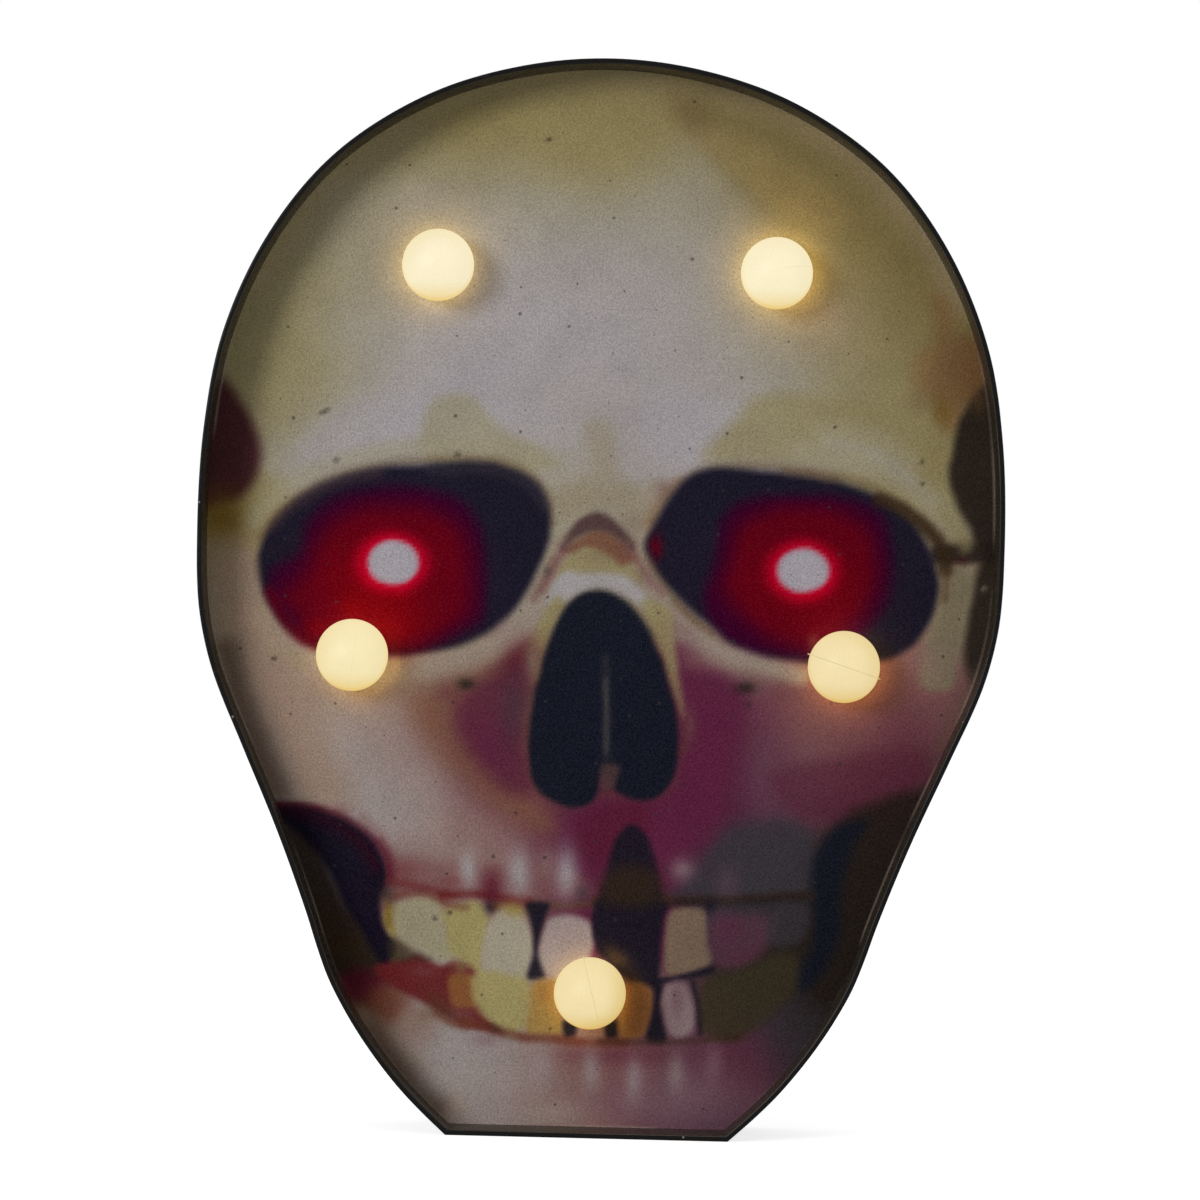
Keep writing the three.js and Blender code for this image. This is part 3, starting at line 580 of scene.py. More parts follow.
# The printed face. Its shapes are laid out on a board of 1200 units a side that hangs a little turned.
board = {"unitsPerMm": 4.949, "turn": 1.4, "middle": 600, "middleAcross": 0.11, "middleUp": 107.68}
facePrint = {
    "rows": 380, "columns": 240, "thickness": 0.35, "edge": 1.12, "lampHole": 4.2, "holeSnap": 0.35,
    "curveSteps": 3, "wobble": 0.7, "wobbleSize": 15, "blotch": 0.02, "blotchSize": 23, "leastWeight": 1e-9,
    # The rim values paint a pale highlight along the sheet's cut edge
    "rimHighlightInk": (150, 134, 122), "rimShare": 0.5, "rimWidth": 0.1, "rimBreaks": 9,
    "seeds": {"across": 3, "down": 5, "blotch": 8, "rim": 9},
    "grain": {"Scale": 2700.0, "Depth": 0.26, "Clouds": 0.1}, "lift": 0.018, "leastLift": -0.003,
    "smallSpecks": {"Scale": 210.0, "Size": 0.05, "Share": 0.3}, "smallShare": 0.5,
    "largeSpecks": {"Scale": 90.0, "Size": 0.045, "Share": 0.6}, "largeShare": 0.65,
    "speckInk": (46, 44, 46), "roughness": (0.5, 0.62), "shine": 0.006,
    "relief": 0.02, "reliefStrength": 0.4,
    "inks": {
        "lilac": (151, 146, 149), "warmLilac": (147, 138, 134), "bone": (143, 135, 112),
        "olive": (134, 123, 86), "deepOlive": (118, 105, 66), "paleOlive": (138, 130, 98),
        "tan": (134, 122, 98), "umber": (84, 62, 40),
        "rust": (122, 84, 52), "rose": (130, 104, 98), "dustyRose": (116, 78, 78), "plum": (84, 38, 54),
        "magenta": (84, 31, 56), "wine": (80, 20, 36), "maroon": (62, 31, 35), "night": (18, 14, 28),
        "socket": (25, 22, 36), "noseDark": (20, 23, 34), "eyeRed": (88, 1, 20), "emberRed": (124, 1, 8),
        "hotRed": (196, 0, 40), "bruise": (52, 0, 34), "pupil": (151, 146, 153), "soot": (36, 29, 25),
        "slate": (54, 50, 56), "white": (150, 146, 148), "toothPale": (145, 138, 112),
        "toothYellow": (148, 138, 90), "toothWhite": (151, 144, 126), "toothPink": (150, 137, 133),
        "toothTan": (112, 95, 78), "mustard": (134, 114, 58), "gumRed": (94, 30, 33),
        "orange": (125, 82, 47), "amber": (148, 120, 66), "brown": (50, 36, 24),
        "blackBlue": (24, 22, 32), "archBrown": (72, 52, 52), "darkOlive": (52, 45, 32),
        "violet": (92, 64, 76), "rim": (140, 127, 116), "dimBone": (117, 107, 85),
        "burnt": (111, 75, 58), "archSide": (103, 76, 70), "ochre": (134, 121, 78), "khaki": (138, 119, 78),
        "moss": (104, 79, 28), "paleWallShade": (144, 121, 105), "wallShade": (88, 72, 60), "brick": (100, 53, 40),
        "mauve": (114, 84, 94), "oxblood": (42, 12, 24), "sand": (152, 134, 107), "cream": (160, 151, 139),
        "dullPlum": (80, 50, 63), "shadowLiftStraw": (164, 153, 104),
    },
    "dirtMarks": ((449, 913), (435, 918), (336, 460), (457, 453),
                  (922, 461), (923, 484), (273, 658), (549, 139)),
    # Soft pools of ink that melt into each other: for each ink, places on the board and how far they reach
    "pools": {
        "olive": ((600, 95, 75), (440, 140, 60), (290, 330, 45), (270, 250, 35), (880, 390, 45),
                  (240, 530, 24)),
        "deepOlive": ((800, 150, 60), (600, 66, 22), (900, 300, 50), (860, 220, 50)),
        "bone": ((600, 190, 60), (350, 290, 55), (770, 330, 60), (560, 480, 40), (450, 665, 24),
                 (740, 655, 24)),
        "lilac": ((600, 310, 110), (480, 360, 80), (700, 400, 60)),
        "warmLilac": ((600, 420, 60), (280, 700, 50), (350, 750, 50), (400, 815, 34), (440, 1060, 40),
                      (490, 1090, 40)),
        "umber": ((974, 370, 21), (345, 985, 24)),
        "tan": ((235, 620, 36), (600, 560, 40), (950, 620, 22)),
        "rose": ((415, 740, 34), (470, 825, 40), (550, 1105, 36)),
        "plum": ((490, 720, 34), (880, 780, 34), (575, 840, 26), (740, 1060, 26)),
        "magenta": ((510, 780, 30), (715, 710, 40), (640, 830, 40), (740, 790, 30)),
        "dustyRose": ((830, 720, 44), (900, 690, 36), (400, 878, 22), (610, 1075, 34)),
        "slate": ((750, 860, 34), (790, 1030, 30)),
        "soot": ((860, 890, 40), (820, 980, 40)),
        "violet": ((700, 1100, 40), (790, 790, 24)),
    },
}


# What is painted over the pools: areas, lines through points, and round soft spots
def area(ink, edge, strength, *points):
    return {"kind": "area", "ink": ink, "edge": edge, "strength": strength, "points": points}


def line(ink, width, edge, strength, *points):
    return {"kind": "line", "ink": ink, "width": width, "edge": edge, "strength": strength, "points": points}


def spot(ink, strength, centre, reach, turn=0, power=1):
    return {"kind": "spot", "ink": ink, "strength": strength, "centre": centre, "reach": reach, "turn": turn,
            "power": power}


facePrint["layers"] = [
    # Crown, forehead and brow
    area("ochre", 70, 0.75, (430, 100), (500, 70), (600, 60), (680, 70), (700, 120), (668, 160),
         (610, 186), (560, 178), (510, 160), (450, 150)),
    area("deepOlive", 44, 0.8, (672, 60), (680, 112), (704, 142), (735, 176), (778, 214), (830, 234),
         (880, 262), (916, 300), (1010, 330), (960, 180), (860, 90)),
    area("khaki", 26, 0.55, (700, 128), (745, 136), (800, 168), (850, 212), (836, 232), (782, 212),
         (738, 178), (706, 148)),
    # Painted light: paler bands along the top and upper left wall lighten the shadow that the wall casts
    # there
    line("sand", 26, 40, 0.6, (256, 280), (300, 208), (360, 146), (430, 104), (510, 80), (600, 70),
         (700, 80), (790, 112), (860, 160), (920, 226), (960, 300)),
    line("shadowLiftStraw", 20, 34, 0.5, (214, 360), (226, 320), (256, 262), (300, 200), (360, 142), (430, 100),
         (510, 74), (600, 64), (690, 74)),
    spot("umber", 0.25, (690, 114), (26, 18), 40),
    spot("rust", 0.12, (800, 190), (50, 16), 30),
    spot("sand", 0.75, (820, 318), (34, 30)),
    spot("cream", 0.45, (500, 230), (34, 26)),
    spot("lilac", 0.25, (420, 200), (40, 28)),
    spot("lilac", 0.25, (360, 330), (40, 28)),
    spot("lilac", 0.25, (600, 250), (44, 26)),
    area("rust", 22, 0.45, (931, 292), (950, 300), (962, 334), (992, 345), (992, 392), (966, 404),
         (962, 430), (944, 430), (936, 404), (914, 386), (916, 356), (934, 340)),
    spot("umber", 0.3, (940, 400), (12, 26), -10),
    spot("moss", 0.5, (942, 412), (10, 14)),
    spot("umber", 0.25, (918, 402), (10, 12)),
    spot("burnt", 0.45, (936, 678), (14, 10)),
    spot("umber", 0.25, (636, 522), (14, 10)),
    spot("tan", 0.5, (654, 486), (9, 8)),
    spot("cream", 0.25, (425, 200), (46, 24)),
    spot("umber", 0.55, (944, 535), (8, 8)),
    spot("umber", 0.5, (964, 545), (12, 6)),
    area("lilac", 26, 0.5, (295, 452), (330, 412), (380, 396), (422, 402), (424, 446), (385, 458),
         (330, 474)),
    area("paleOlive", 16, 0.6, (434, 400), (470, 396), (486, 412), (506, 432), (548, 452), (560, 466),
         (432, 466), (420, 440)),
    area("lilac", 24, 0.5, (492, 404), (535, 398), (578, 424), (568, 448), (530, 438), (505, 422)),
    area("tan", 22, 0.45, (586, 424), (612, 424), (618, 470), (640, 492), (560, 492), (590, 470)),
    area("lilac", 26, 0.6, (640, 402), (700, 390), (738, 412), (704, 450), (664, 462), (636, 440)),
    area("olive", 22, 0.7, (704, 458), (716, 438), (736, 420), (752, 400), (780, 393), (820, 396),
         (866, 404), (915, 420), (946, 442), (946, 478), (890, 462), (840, 462), (770, 464)),
    area("bone", 24, 0.7, (812, 424), (860, 424), (905, 446), (922, 464), (880, 476), (840, 468),
         (818, 450)),
    spot("deepOlive", 0.35, (938, 458), (14, 22)),
    line("bone", 22, 20, 0.85, (800, 450), (850, 458), (895, 474), (925, 496), (950, 526)),
    line("white", 8, 18, 0.3, (830, 440), (870, 452), (912, 480)),
    # Temples
    area("maroon", 18, 0.96, (180, 366), (214, 372), (228, 384), (240, 400), (250, 418), (258, 436),
         (261, 455), (256, 476), (244, 494), (226, 504), (180, 508)),
    spot("moss", 0.85, (222, 518), (26, 26)),
    area("soot", 12, 0.92, (1020, 356), (1000, 368), (985, 384), (970, 405), (958, 426), (953, 452),
         (949, 478), (957, 504), (970, 528), (978, 546), (1020, 552)),
    area("soot", 14, 0.9, (1020, 545), (990, 550), (977, 572), (972, 600), (967, 628), (964, 655),
         (972, 684), (990, 700), (1020, 690)),
    spot("umber", 0.6, (979, 402), (8, 13)),
    line("soot", 20, 11, 0.9, (940, 554), (960, 554), (990, 553)),
    spot("wine", 0.35, (962, 561), (8, 5)),
    # Bone round the sockets and the bridge of the nose
    line("bone", 22, 20, 0.6, (255, 520), (300, 480), (370, 456), (470, 446), (530, 458)),
    line("bone", 16, 14, 0.75, (240, 560), (246, 600), (268, 640), (300, 662)),
    # Painted shade: warmer, darker bands along the left wall and the lower left edge, where the wall's shadow
    # falls
    line("paleWallShade", 60, 50, 0.8, (236, 570), (250, 630), (274, 690), (298, 745), (320, 790)),
    line("wallShade", 22, 24, 0.78, (226, 650), (242, 706), (258, 748), (276, 790)),
    line("paleWallShade", 44, 40, 0.5, (372, 1026), (404, 1070), (446, 1112)),
    line("wallShade", 18, 30, 0.85, (372, 1030), (400, 1068), (436, 1106)),
    spot("burnt", 0.22, (346, 686), (66, 44)),
    line("rim", 24, 14, 0.9, (380, 672), (450, 664), (502, 644), (532, 612), (548, 582)),
    line("rim", 18, 16, 0.9, (652, 584), (680, 611), (722, 644), (770, 668), (800, 676)),
    line("umber", 6, 12, 0.4, (674, 602), (690, 617), (706, 631), (724, 644)),
    area("tan", 22, 0.6, (552, 492), (600, 488), (650, 492), (646, 520), (600, 508), (560, 520)),
    area("dimBone", 10, 0.95, (947, 572), (957, 567), (967, 573), (970, 590), (965, 612), (961, 634),
         (956, 662), (952, 690), (920, 684), (926, 650), (936, 622), (943, 596)),
    spot("rose", 0.5, (926, 662), (26, 20)),
    line("olive", 14, 12, 0.6, (944, 512), (960, 534), (966, 546)),
    line("rust", 12, 14, 0.4, (678, 482), (660, 500), (650, 524)),
    spot("archSide", 0.45, (664, 489), (9, 10)),
    # The nose: arch, pale arc above it, olive bands beside it
    area("olive", 11, 0.75, (558, 574), (570, 553), (590, 545), (616, 550), (634, 566), (642, 582),
         (622, 572), (590, 571)),
    area("burnt", 8, 0.95, (564, 551), (576, 540), (589, 532), (602, 530), (614, 535), (626, 545),
         (638, 560), (630, 563), (622, 566), (610, 556), (598, 550), (584, 547), (572, 553)),
    area("white", 9, 0.9, (547, 606), (551, 590), (557, 578), (566, 571), (580, 574), (594, 574),
         (614, 574), (629, 579), (640, 588), (650, 602), (652, 612), (640, 606), (600, 590), (566, 602)),
    line("dustyRose", 7, 10, 0.75, (563, 551), (557, 562), (549, 577), (541, 590)),
    line("dustyRose", 8, 9, 0.6, (632, 552), (641, 566), (652, 582), (662, 594)),
    line("archSide", 9, 10, 0.55, (553, 560), (545, 577), (533, 598)),
    spot("slate", 0.5, (547, 571), (4, 5)),
    spot("wine", 0.25, (562, 547), (7, 6)),
    spot("wine", 0.2, (630, 546), (8, 7)),
    area("archBrown", 8, 0.92, (562, 549), (567, 534), (576, 522), (586, 515), (596, 512), (607, 515),
         (617, 522), (626, 532), (635, 546), (632, 550), (621, 541), (611, 534), (601, 531), (589, 532),
         (576, 538), (567, 546)),
    spot("archSide", 0.6, (567, 543), (6, 8)),
    spot("archSide", 0.6, (629, 544), (7, 8)),
    spot("archSide", 0.35, (644, 576), (10, 11)),
    spot("archSide", 0.2, (602, 557), (24, 5)),
    line("olive", 14, 11, 0.85, (558, 604), (547, 622), (539, 647), (533, 677)),
    spot("tan", 0.6, (533, 660), (8, 14)),
    spot("slate", 0.5, (530, 702), (7, 24)),
    area("olive", 9, 0.85, (642, 600), (656, 602), (672, 612), (674, 628), (675, 648), (680, 675),
         (685, 702), (684, 718), (678, 706), (668, 675), (660, 650), (650, 624)),
    line("umber", 5, 8, 0.4, (686, 716), (688, 736), (684, 752)),
    # Cheeks
    area("burnt", 40, 0.8, (536, 640), (534, 700), (540, 800), (560, 830), (520, 826), (466, 786),
         (416, 730), (410, 696), (444, 680), (500, 660)),
    area("plum", 26, 0.9, (534, 652), (532, 680), (526, 710), (524, 750), (534, 790), (512, 794),
         (480, 762), (454, 716), (466, 692), (505, 668)),
    spot("magenta", 0.6, (490, 745), (40, 26), 50),
    spot("wine", 0.5, (516, 660), (14, 22), 30),
    spot("slate", 0.45, (514, 706), (14, 34)),
    area("magenta", 22, 0.85, (682, 672), (704, 668), (744, 690), (742, 740), (728, 790), (690, 810),
         (690, 740)),
    area("rim", 16, 0.6, (680, 636), (704, 634), (746, 668), (716, 664), (694, 650)),
    spot("dustyRose", 0.5, (694, 660), (14, 10), 20),
    spot("violet", 0.5, (762, 764), (22, 46)),
    # Painted shade along the right wall
    line("wallShade", 12, 24, 0.55, (976, 676), (950, 730), (920, 790)),
    spot("plum", 0.4, (905, 730), (30, 30)),
    spot("bruise", 0.2, (846, 812), (40, 12)),
    area("plum", 26, 0.7, (770, 776), (840, 760), (920, 752), (934, 784), (880, 800), (800, 822)),
    spot("dimBone", 0.6, (532, 660), (8, 15)),
    spot("plum", 0.4, (448, 692), (14, 10)),
    spot("bone", 0.5, (680, 632), (8, 12)),
    spot("archSide", 0.4, (690, 724), (6, 18)),
    spot("soot", 0.85, (466, 684), (9, 6)),
    spot("soot", 0.85, (746, 688), (10, 6)),
    spot("soot", 0.4, (749, 704), (4, 4)),
    # Between nose and teeth
    area("magenta", 30, 0.9, (560, 822), (610, 800), (690, 800), (728, 806), (700, 850), (660, 874),
         (600, 880), (566, 860)),
    area("wine", 24, 0.45, (580, 822), (640, 800), (650, 830), (600, 866), (578, 850)),
    area("dustyRose", 16, 0.6, (392, 862), (440, 862), (500, 866), (575, 872), (596, 896), (500, 894),
         (400, 884)),
    spot("rose", 0.4, (478, 828), (26, 14)),
    spot("gumRed", 0.3, (400, 870), (16, 12)),
    area("slate", 22, 0.85, (716, 850), (736, 828), (795, 822), (815, 846), (806, 896), (720, 898),
         (668, 896), (690, 880)),
    # Jaw hollows
    area("soot", 20, 0.92, (255, 812), (300, 812), (345, 900), (385, 950), (384, 975), (350, 985),
         (300, 930)),
    area("night", 10, 0.95, (262, 806), (300, 805), (330, 811), (354, 823), (371, 838), (383, 858),
         (388, 880), (381, 896), (382, 922), (395, 944), (393, 958), (386, 968), (376, 956), (362, 932),
         (346, 908), (330, 874), (312, 848), (286, 824)),
    spot("dustyRose", 0.5, (340, 809), (13, 6)),
    line("oxblood", 12, 16, 0.7, (262, 808), (300, 812), (328, 822), (350, 834), (366, 850), (376, 868)),
    line("dustyRose", 8, 14, 0.5, (362, 818), (380, 836), (394, 860)),
    line("wine", 8, 11, 0.5, (380, 842), (389, 858), (392, 874)),
    line("wine", 5, 9, 0.7, (276, 804), (308, 806), (336, 813), (359, 825), (375, 841), (387, 860),
         (391, 880)),
    area("brown", 18, 0.7, (318, 900), (340, 920), (362, 950), (366, 972), (344, 968), (322, 940)),
    area("wine", 20, 0.8, (346, 972), (378, 972), (388, 984), (376, 1000), (352, 1002), (336, 990)),
    area("brick", 20, 0.85, (372, 990), (396, 988), (412, 1004), (396, 1022), (382, 1020), (368, 1006)),
    spot("dimBone", 0.5, (418, 1022), (16, 14)),
    spot("burnt", 0.3, (394, 1026), (24, 16)),
    spot("lilac", 0.35, (436, 1084), (20, 18)),
    area("rose", 26, 0.5, (404, 1000), (430, 1014), (440, 1034), (420, 1050), (400, 1030)),
    area("soot", 22, 0.9, (838, 826), (880, 800), (950, 790), (930, 870), (880, 960), (850, 1000),
         (812, 1000), (820, 900)),
    area("noseDark", 16, 0.9, (812, 870), (822, 842), (840, 826), (868, 822), (852, 850), (842, 890),
         (838, 940), (822, 976), (802, 992), (797, 972), (812, 950), (812, 900)),
    # Gum lines and roots
    line("gumRed", 8, 9, 0.6, (388, 882), (424, 888), (446, 893)),
    line("gumRed", 9, 9, 0.85, (442, 896), (470, 894), (500, 898), (530, 902)),
    line("umber", 7, 8, 0.6, (530, 904), (560, 906), (596, 904)),
    line("brown", 9, 11, 0.8, (598, 902), (660, 901), (700, 901), (810, 896)),
    line("blackBlue", 9, 12, 0.4, (680, 903), (740, 902), (806, 898)),
    spot("wine", 0.75, (492, 888), (12, 18)),
    spot("rose", 0.6, (545, 862), (10, 16)),
    spot("white", 0.8, (468, 870), (9, 19)),
    spot("white", 0.85, (519, 873), (12, 21)),
    spot("white", 0.8, (566, 872), (12, 26)),
    spot("slate", 0.55, (583, 893), (9, 9)),
    spot("warmLilac", 0.5, (682, 870), (12, 12)),
    spot("violet", 0.5, (727, 884), (12, 16)),
    # Upper teeth, from the left
    spot("soot", 0.6, (386, 893), (9, 9)),
    area("toothPale", 9, 0.95, (385, 912), (392, 904), (405, 899), (420, 897), (434, 899), (442, 906),
         (445, 922), (449, 941), (456, 956), (450, 962), (438, 961), (426, 956), (412, 948), (400, 942),
         (390, 933), (385, 922)),
    line("mustard", 7, 8, 0.8, (389, 908), (388, 920), (393, 932)),
    line("moss", 4, 8, 0.5, (387, 902), (386, 914), (388, 924)),
    area("toothYellow", 10, 0.95, (443, 910), (458, 905), (470, 902), (480, 904), (487, 914), (489, 926),
         (484, 944), (482, 962), (484, 978), (474, 974), (462, 962), (450, 952), (446, 930)),
    spot("blackBlue", 0.85, (491, 907), (7, 7)),
    line("brick", 6, 9, 0.55, (396, 895), (424, 894), (450, 905), (466, 908)),
    spot("umber", 0.35, (390, 905), (6, 6)),
    spot("moss", 0.4, (389, 919), (6, 9)),
    spot("brick", 0.45, (505, 906), (13, 6)),
    spot("gumRed", 0.3, (450, 882), (12, 6)),
    line("brick", 6, 9, 0.5, (494, 906), (524, 906)),
    area("toothWhite", 9, 0.95, (484, 934), (490, 920), (499, 911), (508, 907), (518, 909), (525, 918),
         (531, 932), (533, 948), (530, 964), (526, 978), (510, 982), (494, 976), (485, 962)),
    spot("mustard", 0.8, (513, 910), (13, 7), 12),
    area("toothPink", 9, 0.95, (548, 921), (556, 917), (568, 915), (581, 918), (590, 923), (594, 934),
         (593, 948), (587, 960), (570, 974), (556, 980), (546, 976), (541, 962), (541, 944), (544, 930)),
    area("blackBlue", 8, 0.93, (525, 904), (538, 902), (550, 905), (546, 916), (542, 930), (539, 944),
         (538, 956), (542, 968), (545, 976), (537, 980), (527, 979), (529, 969), (533, 955), (533, 938),
         (530, 920)),
    area("blackBlue", 8, 0.95, (595, 903), (630, 903), (668, 903), (664, 920), (661, 945), (660, 972),
         (656, 988), (640, 985), (622, 977), (609, 964), (597, 953)),
    spot("umber", 0.7, (617, 958), (14, 8), 35),
    area("blackBlue", 10, 0.92, (632, 824), (645, 834), (653, 852), (658, 874), (661, 904), (630, 906),
         (600, 904), (604, 882), (609, 860), (618, 836)),
    area("brown", 24, 0.75, (608, 872), (632, 866), (656, 872), (660, 902), (602, 902)),
    area("toothTan", 8, 0.95, (669, 914), (674, 909), (690, 908), (704, 911), (707, 925), (709, 944),
         (713, 962), (700, 969), (682, 974), (671, 977), (666, 970), (665, 950), (666, 930)),
    area("dullPlum", 18, 0.85, (713, 918), (745, 914), (776, 920), (772, 940), (757, 960), (730, 970),
         (714, 964)),
    spot("magenta", 0.35, (728, 930), (12, 14), 20),
    spot("magenta", 0.3, (744, 956), (14, 7), -20),
    spot("blackBlue", 0.75, (710, 906), (5, 8)),
    area("slate", 14, 0.7, (774, 908), (806, 904), (806, 936), (782, 948), (768, 940)),
    # The lower teeth and the gap over them
    area("darkOlive", 16, 0.9, (712, 976), (740, 970), (770, 956), (796, 955), (797, 988), (775, 1012),
         (745, 1036), (716, 1042), (700, 1030), (700, 990)),
    line("blackBlue", 6, 6, 0.9, (656, 982), (684, 977), (712, 970)),
    area("gumRed", 9, 0.95, (372, 968), (391, 962), (406, 957), (418, 955), (431, 962), (441, 966),
         (454, 962), (464, 964), (476, 972), (482, 986), (482, 1006), (492, 1022), (502, 1032),
         (470, 1029), (446, 1017), (424, 1003), (398, 991)),
    area("darkOlive", 10, 0.6, (388, 940), (396, 938), (412, 950), (432, 960), (410, 960), (392, 962)),
    spot("brown", 0.4, (446, 1014), (20, 6), 28),
    spot("dustyRose", 0.35, (424, 972), (14, 6)),
    spot("umber", 0.4, (440, 1004), (18, 10), 40),
    area("orange", 8, 0.92, (448, 977), (458, 974), (474, 977), (477, 990), (476, 1006), (465, 1008),
         (454, 1007), (449, 998)),
    spot("burnt", 0.75, (461, 967), (9, 5)),
    spot("dustyRose", 0.5, (460, 1015), (12, 7), 20),
    area("toothYellow", 10, 0.92, (473, 976), (488, 971), (508, 975), (526, 979), (532, 992), (532, 1008),
         (528, 1022), (518, 1032), (504, 1031), (490, 1022), (478, 1011), (472, 996)),
    area("amber", 10, 0.95, (532, 984), (544, 980), (558, 981), (558, 1002), (562, 1018), (563, 1032),
         (556, 1037), (540, 1037), (526, 1033), (530, 1010)),
    spot("orange", 0.45, (545, 992), (10, 14)),
    area("rose", 8, 0.85, (576, 1026), (606, 1026), (604, 1038), (578, 1039)),
    area("blackBlue", 8, 0.92, (563, 1021), (576, 1025), (574, 1036), (565, 1038)),
    area("blackBlue", 8, 0.92, (605, 1024), (618, 1020), (618, 1036), (608, 1039)),
    area("orange", 9, 0.92, (622, 984), (640, 983), (650, 989), (653, 1004), (650, 1020), (645, 1035),
         (632, 1039), (620, 1035), (619, 1018), (623, 1002)),
    spot("brown", 0.6, (631, 979), (9, 7)),
    line("amber", 7, 9, 0.4, (624, 1000), (621, 1018), (624, 1034)),
    spot("umber", 0.45, (637, 1004), (8, 20)),
    area("blackBlue", 8, 0.95, (652, 982), (663, 985), (661, 1004), (664, 1024), (667, 1042), (647, 1042),
         (650, 1022), (654, 1002)),
    line("blackBlue", 5, 7, 0.75, (693, 982), (698, 1004), (700, 1034)),
    area("violet", 8, 0.3, (663, 988), (674, 981), (686, 982), (693, 994), (697, 1018), (694, 1034),
         (682, 1040), (668, 1034), (662, 1006)),
    area("warmLilac", 9, 0.6, (664, 990), (674, 983), (685, 984), (691, 996), (695, 1018), (692, 1032),
         (682, 1038), (670, 1032), (664, 1006)),
    spot("violet", 0.55, (677, 1000), (9, 20)),
    line("brick", 7, 9, 0.7, (436, 1014), (450, 1023), (466, 1028)),
    line("brick", 9, 8, 0.8, (462, 1022), (480, 1026), (497, 1031), (525, 1038), (555, 1040), (600, 1043),
         (625, 1043)),
    spot("brown", 0.45, (495, 1029), (10, 5), 25),
    spot("burnt", 0.3, (474, 1013), (10, 7)),
    spot("ochre", 0.35, (462, 966), (8, 9)),
    spot("burnt", 0.4, (426, 1014), (13, 8)),
    spot("mauve", 0.5, (486, 1040), (16, 7)),
    spot("dimBone", 0.5, (510, 1036), (5, 4)),
    line("brown", 6, 9, 0.6, (600, 1042), (650, 1043), (700, 1042), (740, 1038)),
    # Roots below the teeth, and the chin
    spot("plum", 0.6, (630, 1056), (70, 12)),
    spot("mauve", 0.6, (690, 1098), (64, 26)),
    spot("mauve", 0.6, (634, 1106), (40, 16)),
    spot("cream", 0.35, (556, 1114), (32, 12)),
    spot("white", 0.35, (542, 1066), (12, 24)),
    spot("white", 0.55, (591, 1070), (10, 22)),
    spot("white", 0.5, (634, 1080), (9, 22)),
    spot("warmLilac", 0.5, (676, 1074), (9, 20)),
    spot("mauve", 0.7, (713, 1066), (9, 20)),
    # The eye sockets
    line("umber", 7, 14, 0.55, (262, 536), (280, 512), (315, 486), (355, 470), (400, 463), (445, 459),
         (485, 460), (520, 469), (544, 490), (551, 522)),
    area("socket", 11, 0.98, (258, 556), (262, 542), (270, 526), (282, 512), (298, 498), (318, 486),
         (338, 477), (358, 471), (380, 467), (402, 466), (424, 465), (446, 462), (466, 461), (486, 462),
         (505, 466), (522, 472), (535, 481), (544, 493), (549, 508), (551, 524), (549, 540), (543, 556),
         (536, 572), (527, 590), (515, 608), (501, 622), (485, 634), (466, 643), (442, 650), (418, 653),
         (396, 655), (370, 656), (340, 653), (318, 649), (302, 641), (288, 631), (276, 617), (267, 601),
         (261, 586), (258, 571)),
    line("archBrown", 9, 14, 0.5, (272, 526), (296, 504), (338, 482), (378, 472)),
    line("slate", 9, 14, 0.5, (430, 469), (490, 470), (528, 484), (545, 506)),
    area("bruise", 22, 0.95, (270, 572), (300, 552), (306, 524), (330, 500), (372, 488), (420, 488),
         (462, 502), (480, 530), (486, 590), (480, 622), (448, 638), (404, 652), (330, 648), (288, 622),
         (270, 594)),
    area("eyeRed", 34, 0.95, (282, 596), (308, 572), (320, 538), (348, 512), (392, 505), (436, 512),
         (462, 534), (470, 580), (468, 612), (440, 634), (414, 644), (332, 640), (296, 616)),
    line("eyeRed", 10, 12, 0.7, (269, 592), (281, 617), (297, 635), (322, 648), (350, 653)),
    spot("emberRed", 0.6, (378, 596), (56, 32), 20),
    spot("emberRed", 0.4, (398, 628), (22, 26), -20),
    spot("emberRed", 0.5, (392, 558), (50, 31)),
    spot("emberRed", 0.5, (313, 630), (16, 12)),
    spot("emberRed", 0.5, (352, 607), (15, 12)),
    spot("hotRed", 0.9, (392, 563), (37, 31), 0, 3),
    spot("pupil", 1, (393.2, 562.5), (26.6, 22.6), 0, 8),
    line("umber", 7, 14, 0.5, (655, 520), (672, 492), (700, 470), (740, 466), (790, 469), (840, 477),
         (890, 497), (930, 528)),
    area("socket", 11, 0.98, (645, 549), (649, 533), (658, 517), (666, 503), (675, 490), (686, 479),
         (699, 471), (716, 467), (736, 468), (760, 471), (786, 473), (811, 476), (835, 481), (858, 488),
         (880, 497), (898, 509), (913, 522), (924, 537), (931, 552), (937, 570), (939, 588), (936, 607),
         (929, 624), (918, 640), (904, 652), (888, 659), (850, 664), (805, 662), (785, 659), (765, 655),
         (745, 648), (728, 641), (713, 628), (697, 615), (681, 601), (665, 585), (655, 569)),
    line("brown", 14, 10, 0.85, (880, 499), (901, 508), (919, 521), (934, 536), (944, 551), (946, 570)),
    line("umber", 7, 8, 0.6, (946, 572), (945, 600)),
    line("umber", 4, 9, 0.5, (652, 564), (662, 584), (677, 603), (693, 619), (712, 634)),
    line("umber", 6, 10, 0.5, (786, 471), (812, 474), (836, 480)),
    area("bruise", 20, 0.95, (716, 560), (722, 520), (746, 500), (800, 495), (850, 499), (882, 514),
         (892, 560), (888, 600), (862, 634), (812, 656), (768, 654), (726, 638), (704, 600)),
    area("eyeRed", 30, 0.95, (732, 560), (740, 528), (766, 511), (804, 507), (844, 513), (868, 530),
         (875, 562), (870, 596), (846, 624), (806, 646), (770, 638), (740, 612), (725, 588)),
    spot("emberRed", 0.5, (803, 580), (56, 38)),
    spot("burnt", 0.45, (813, 642), (5, 8)),
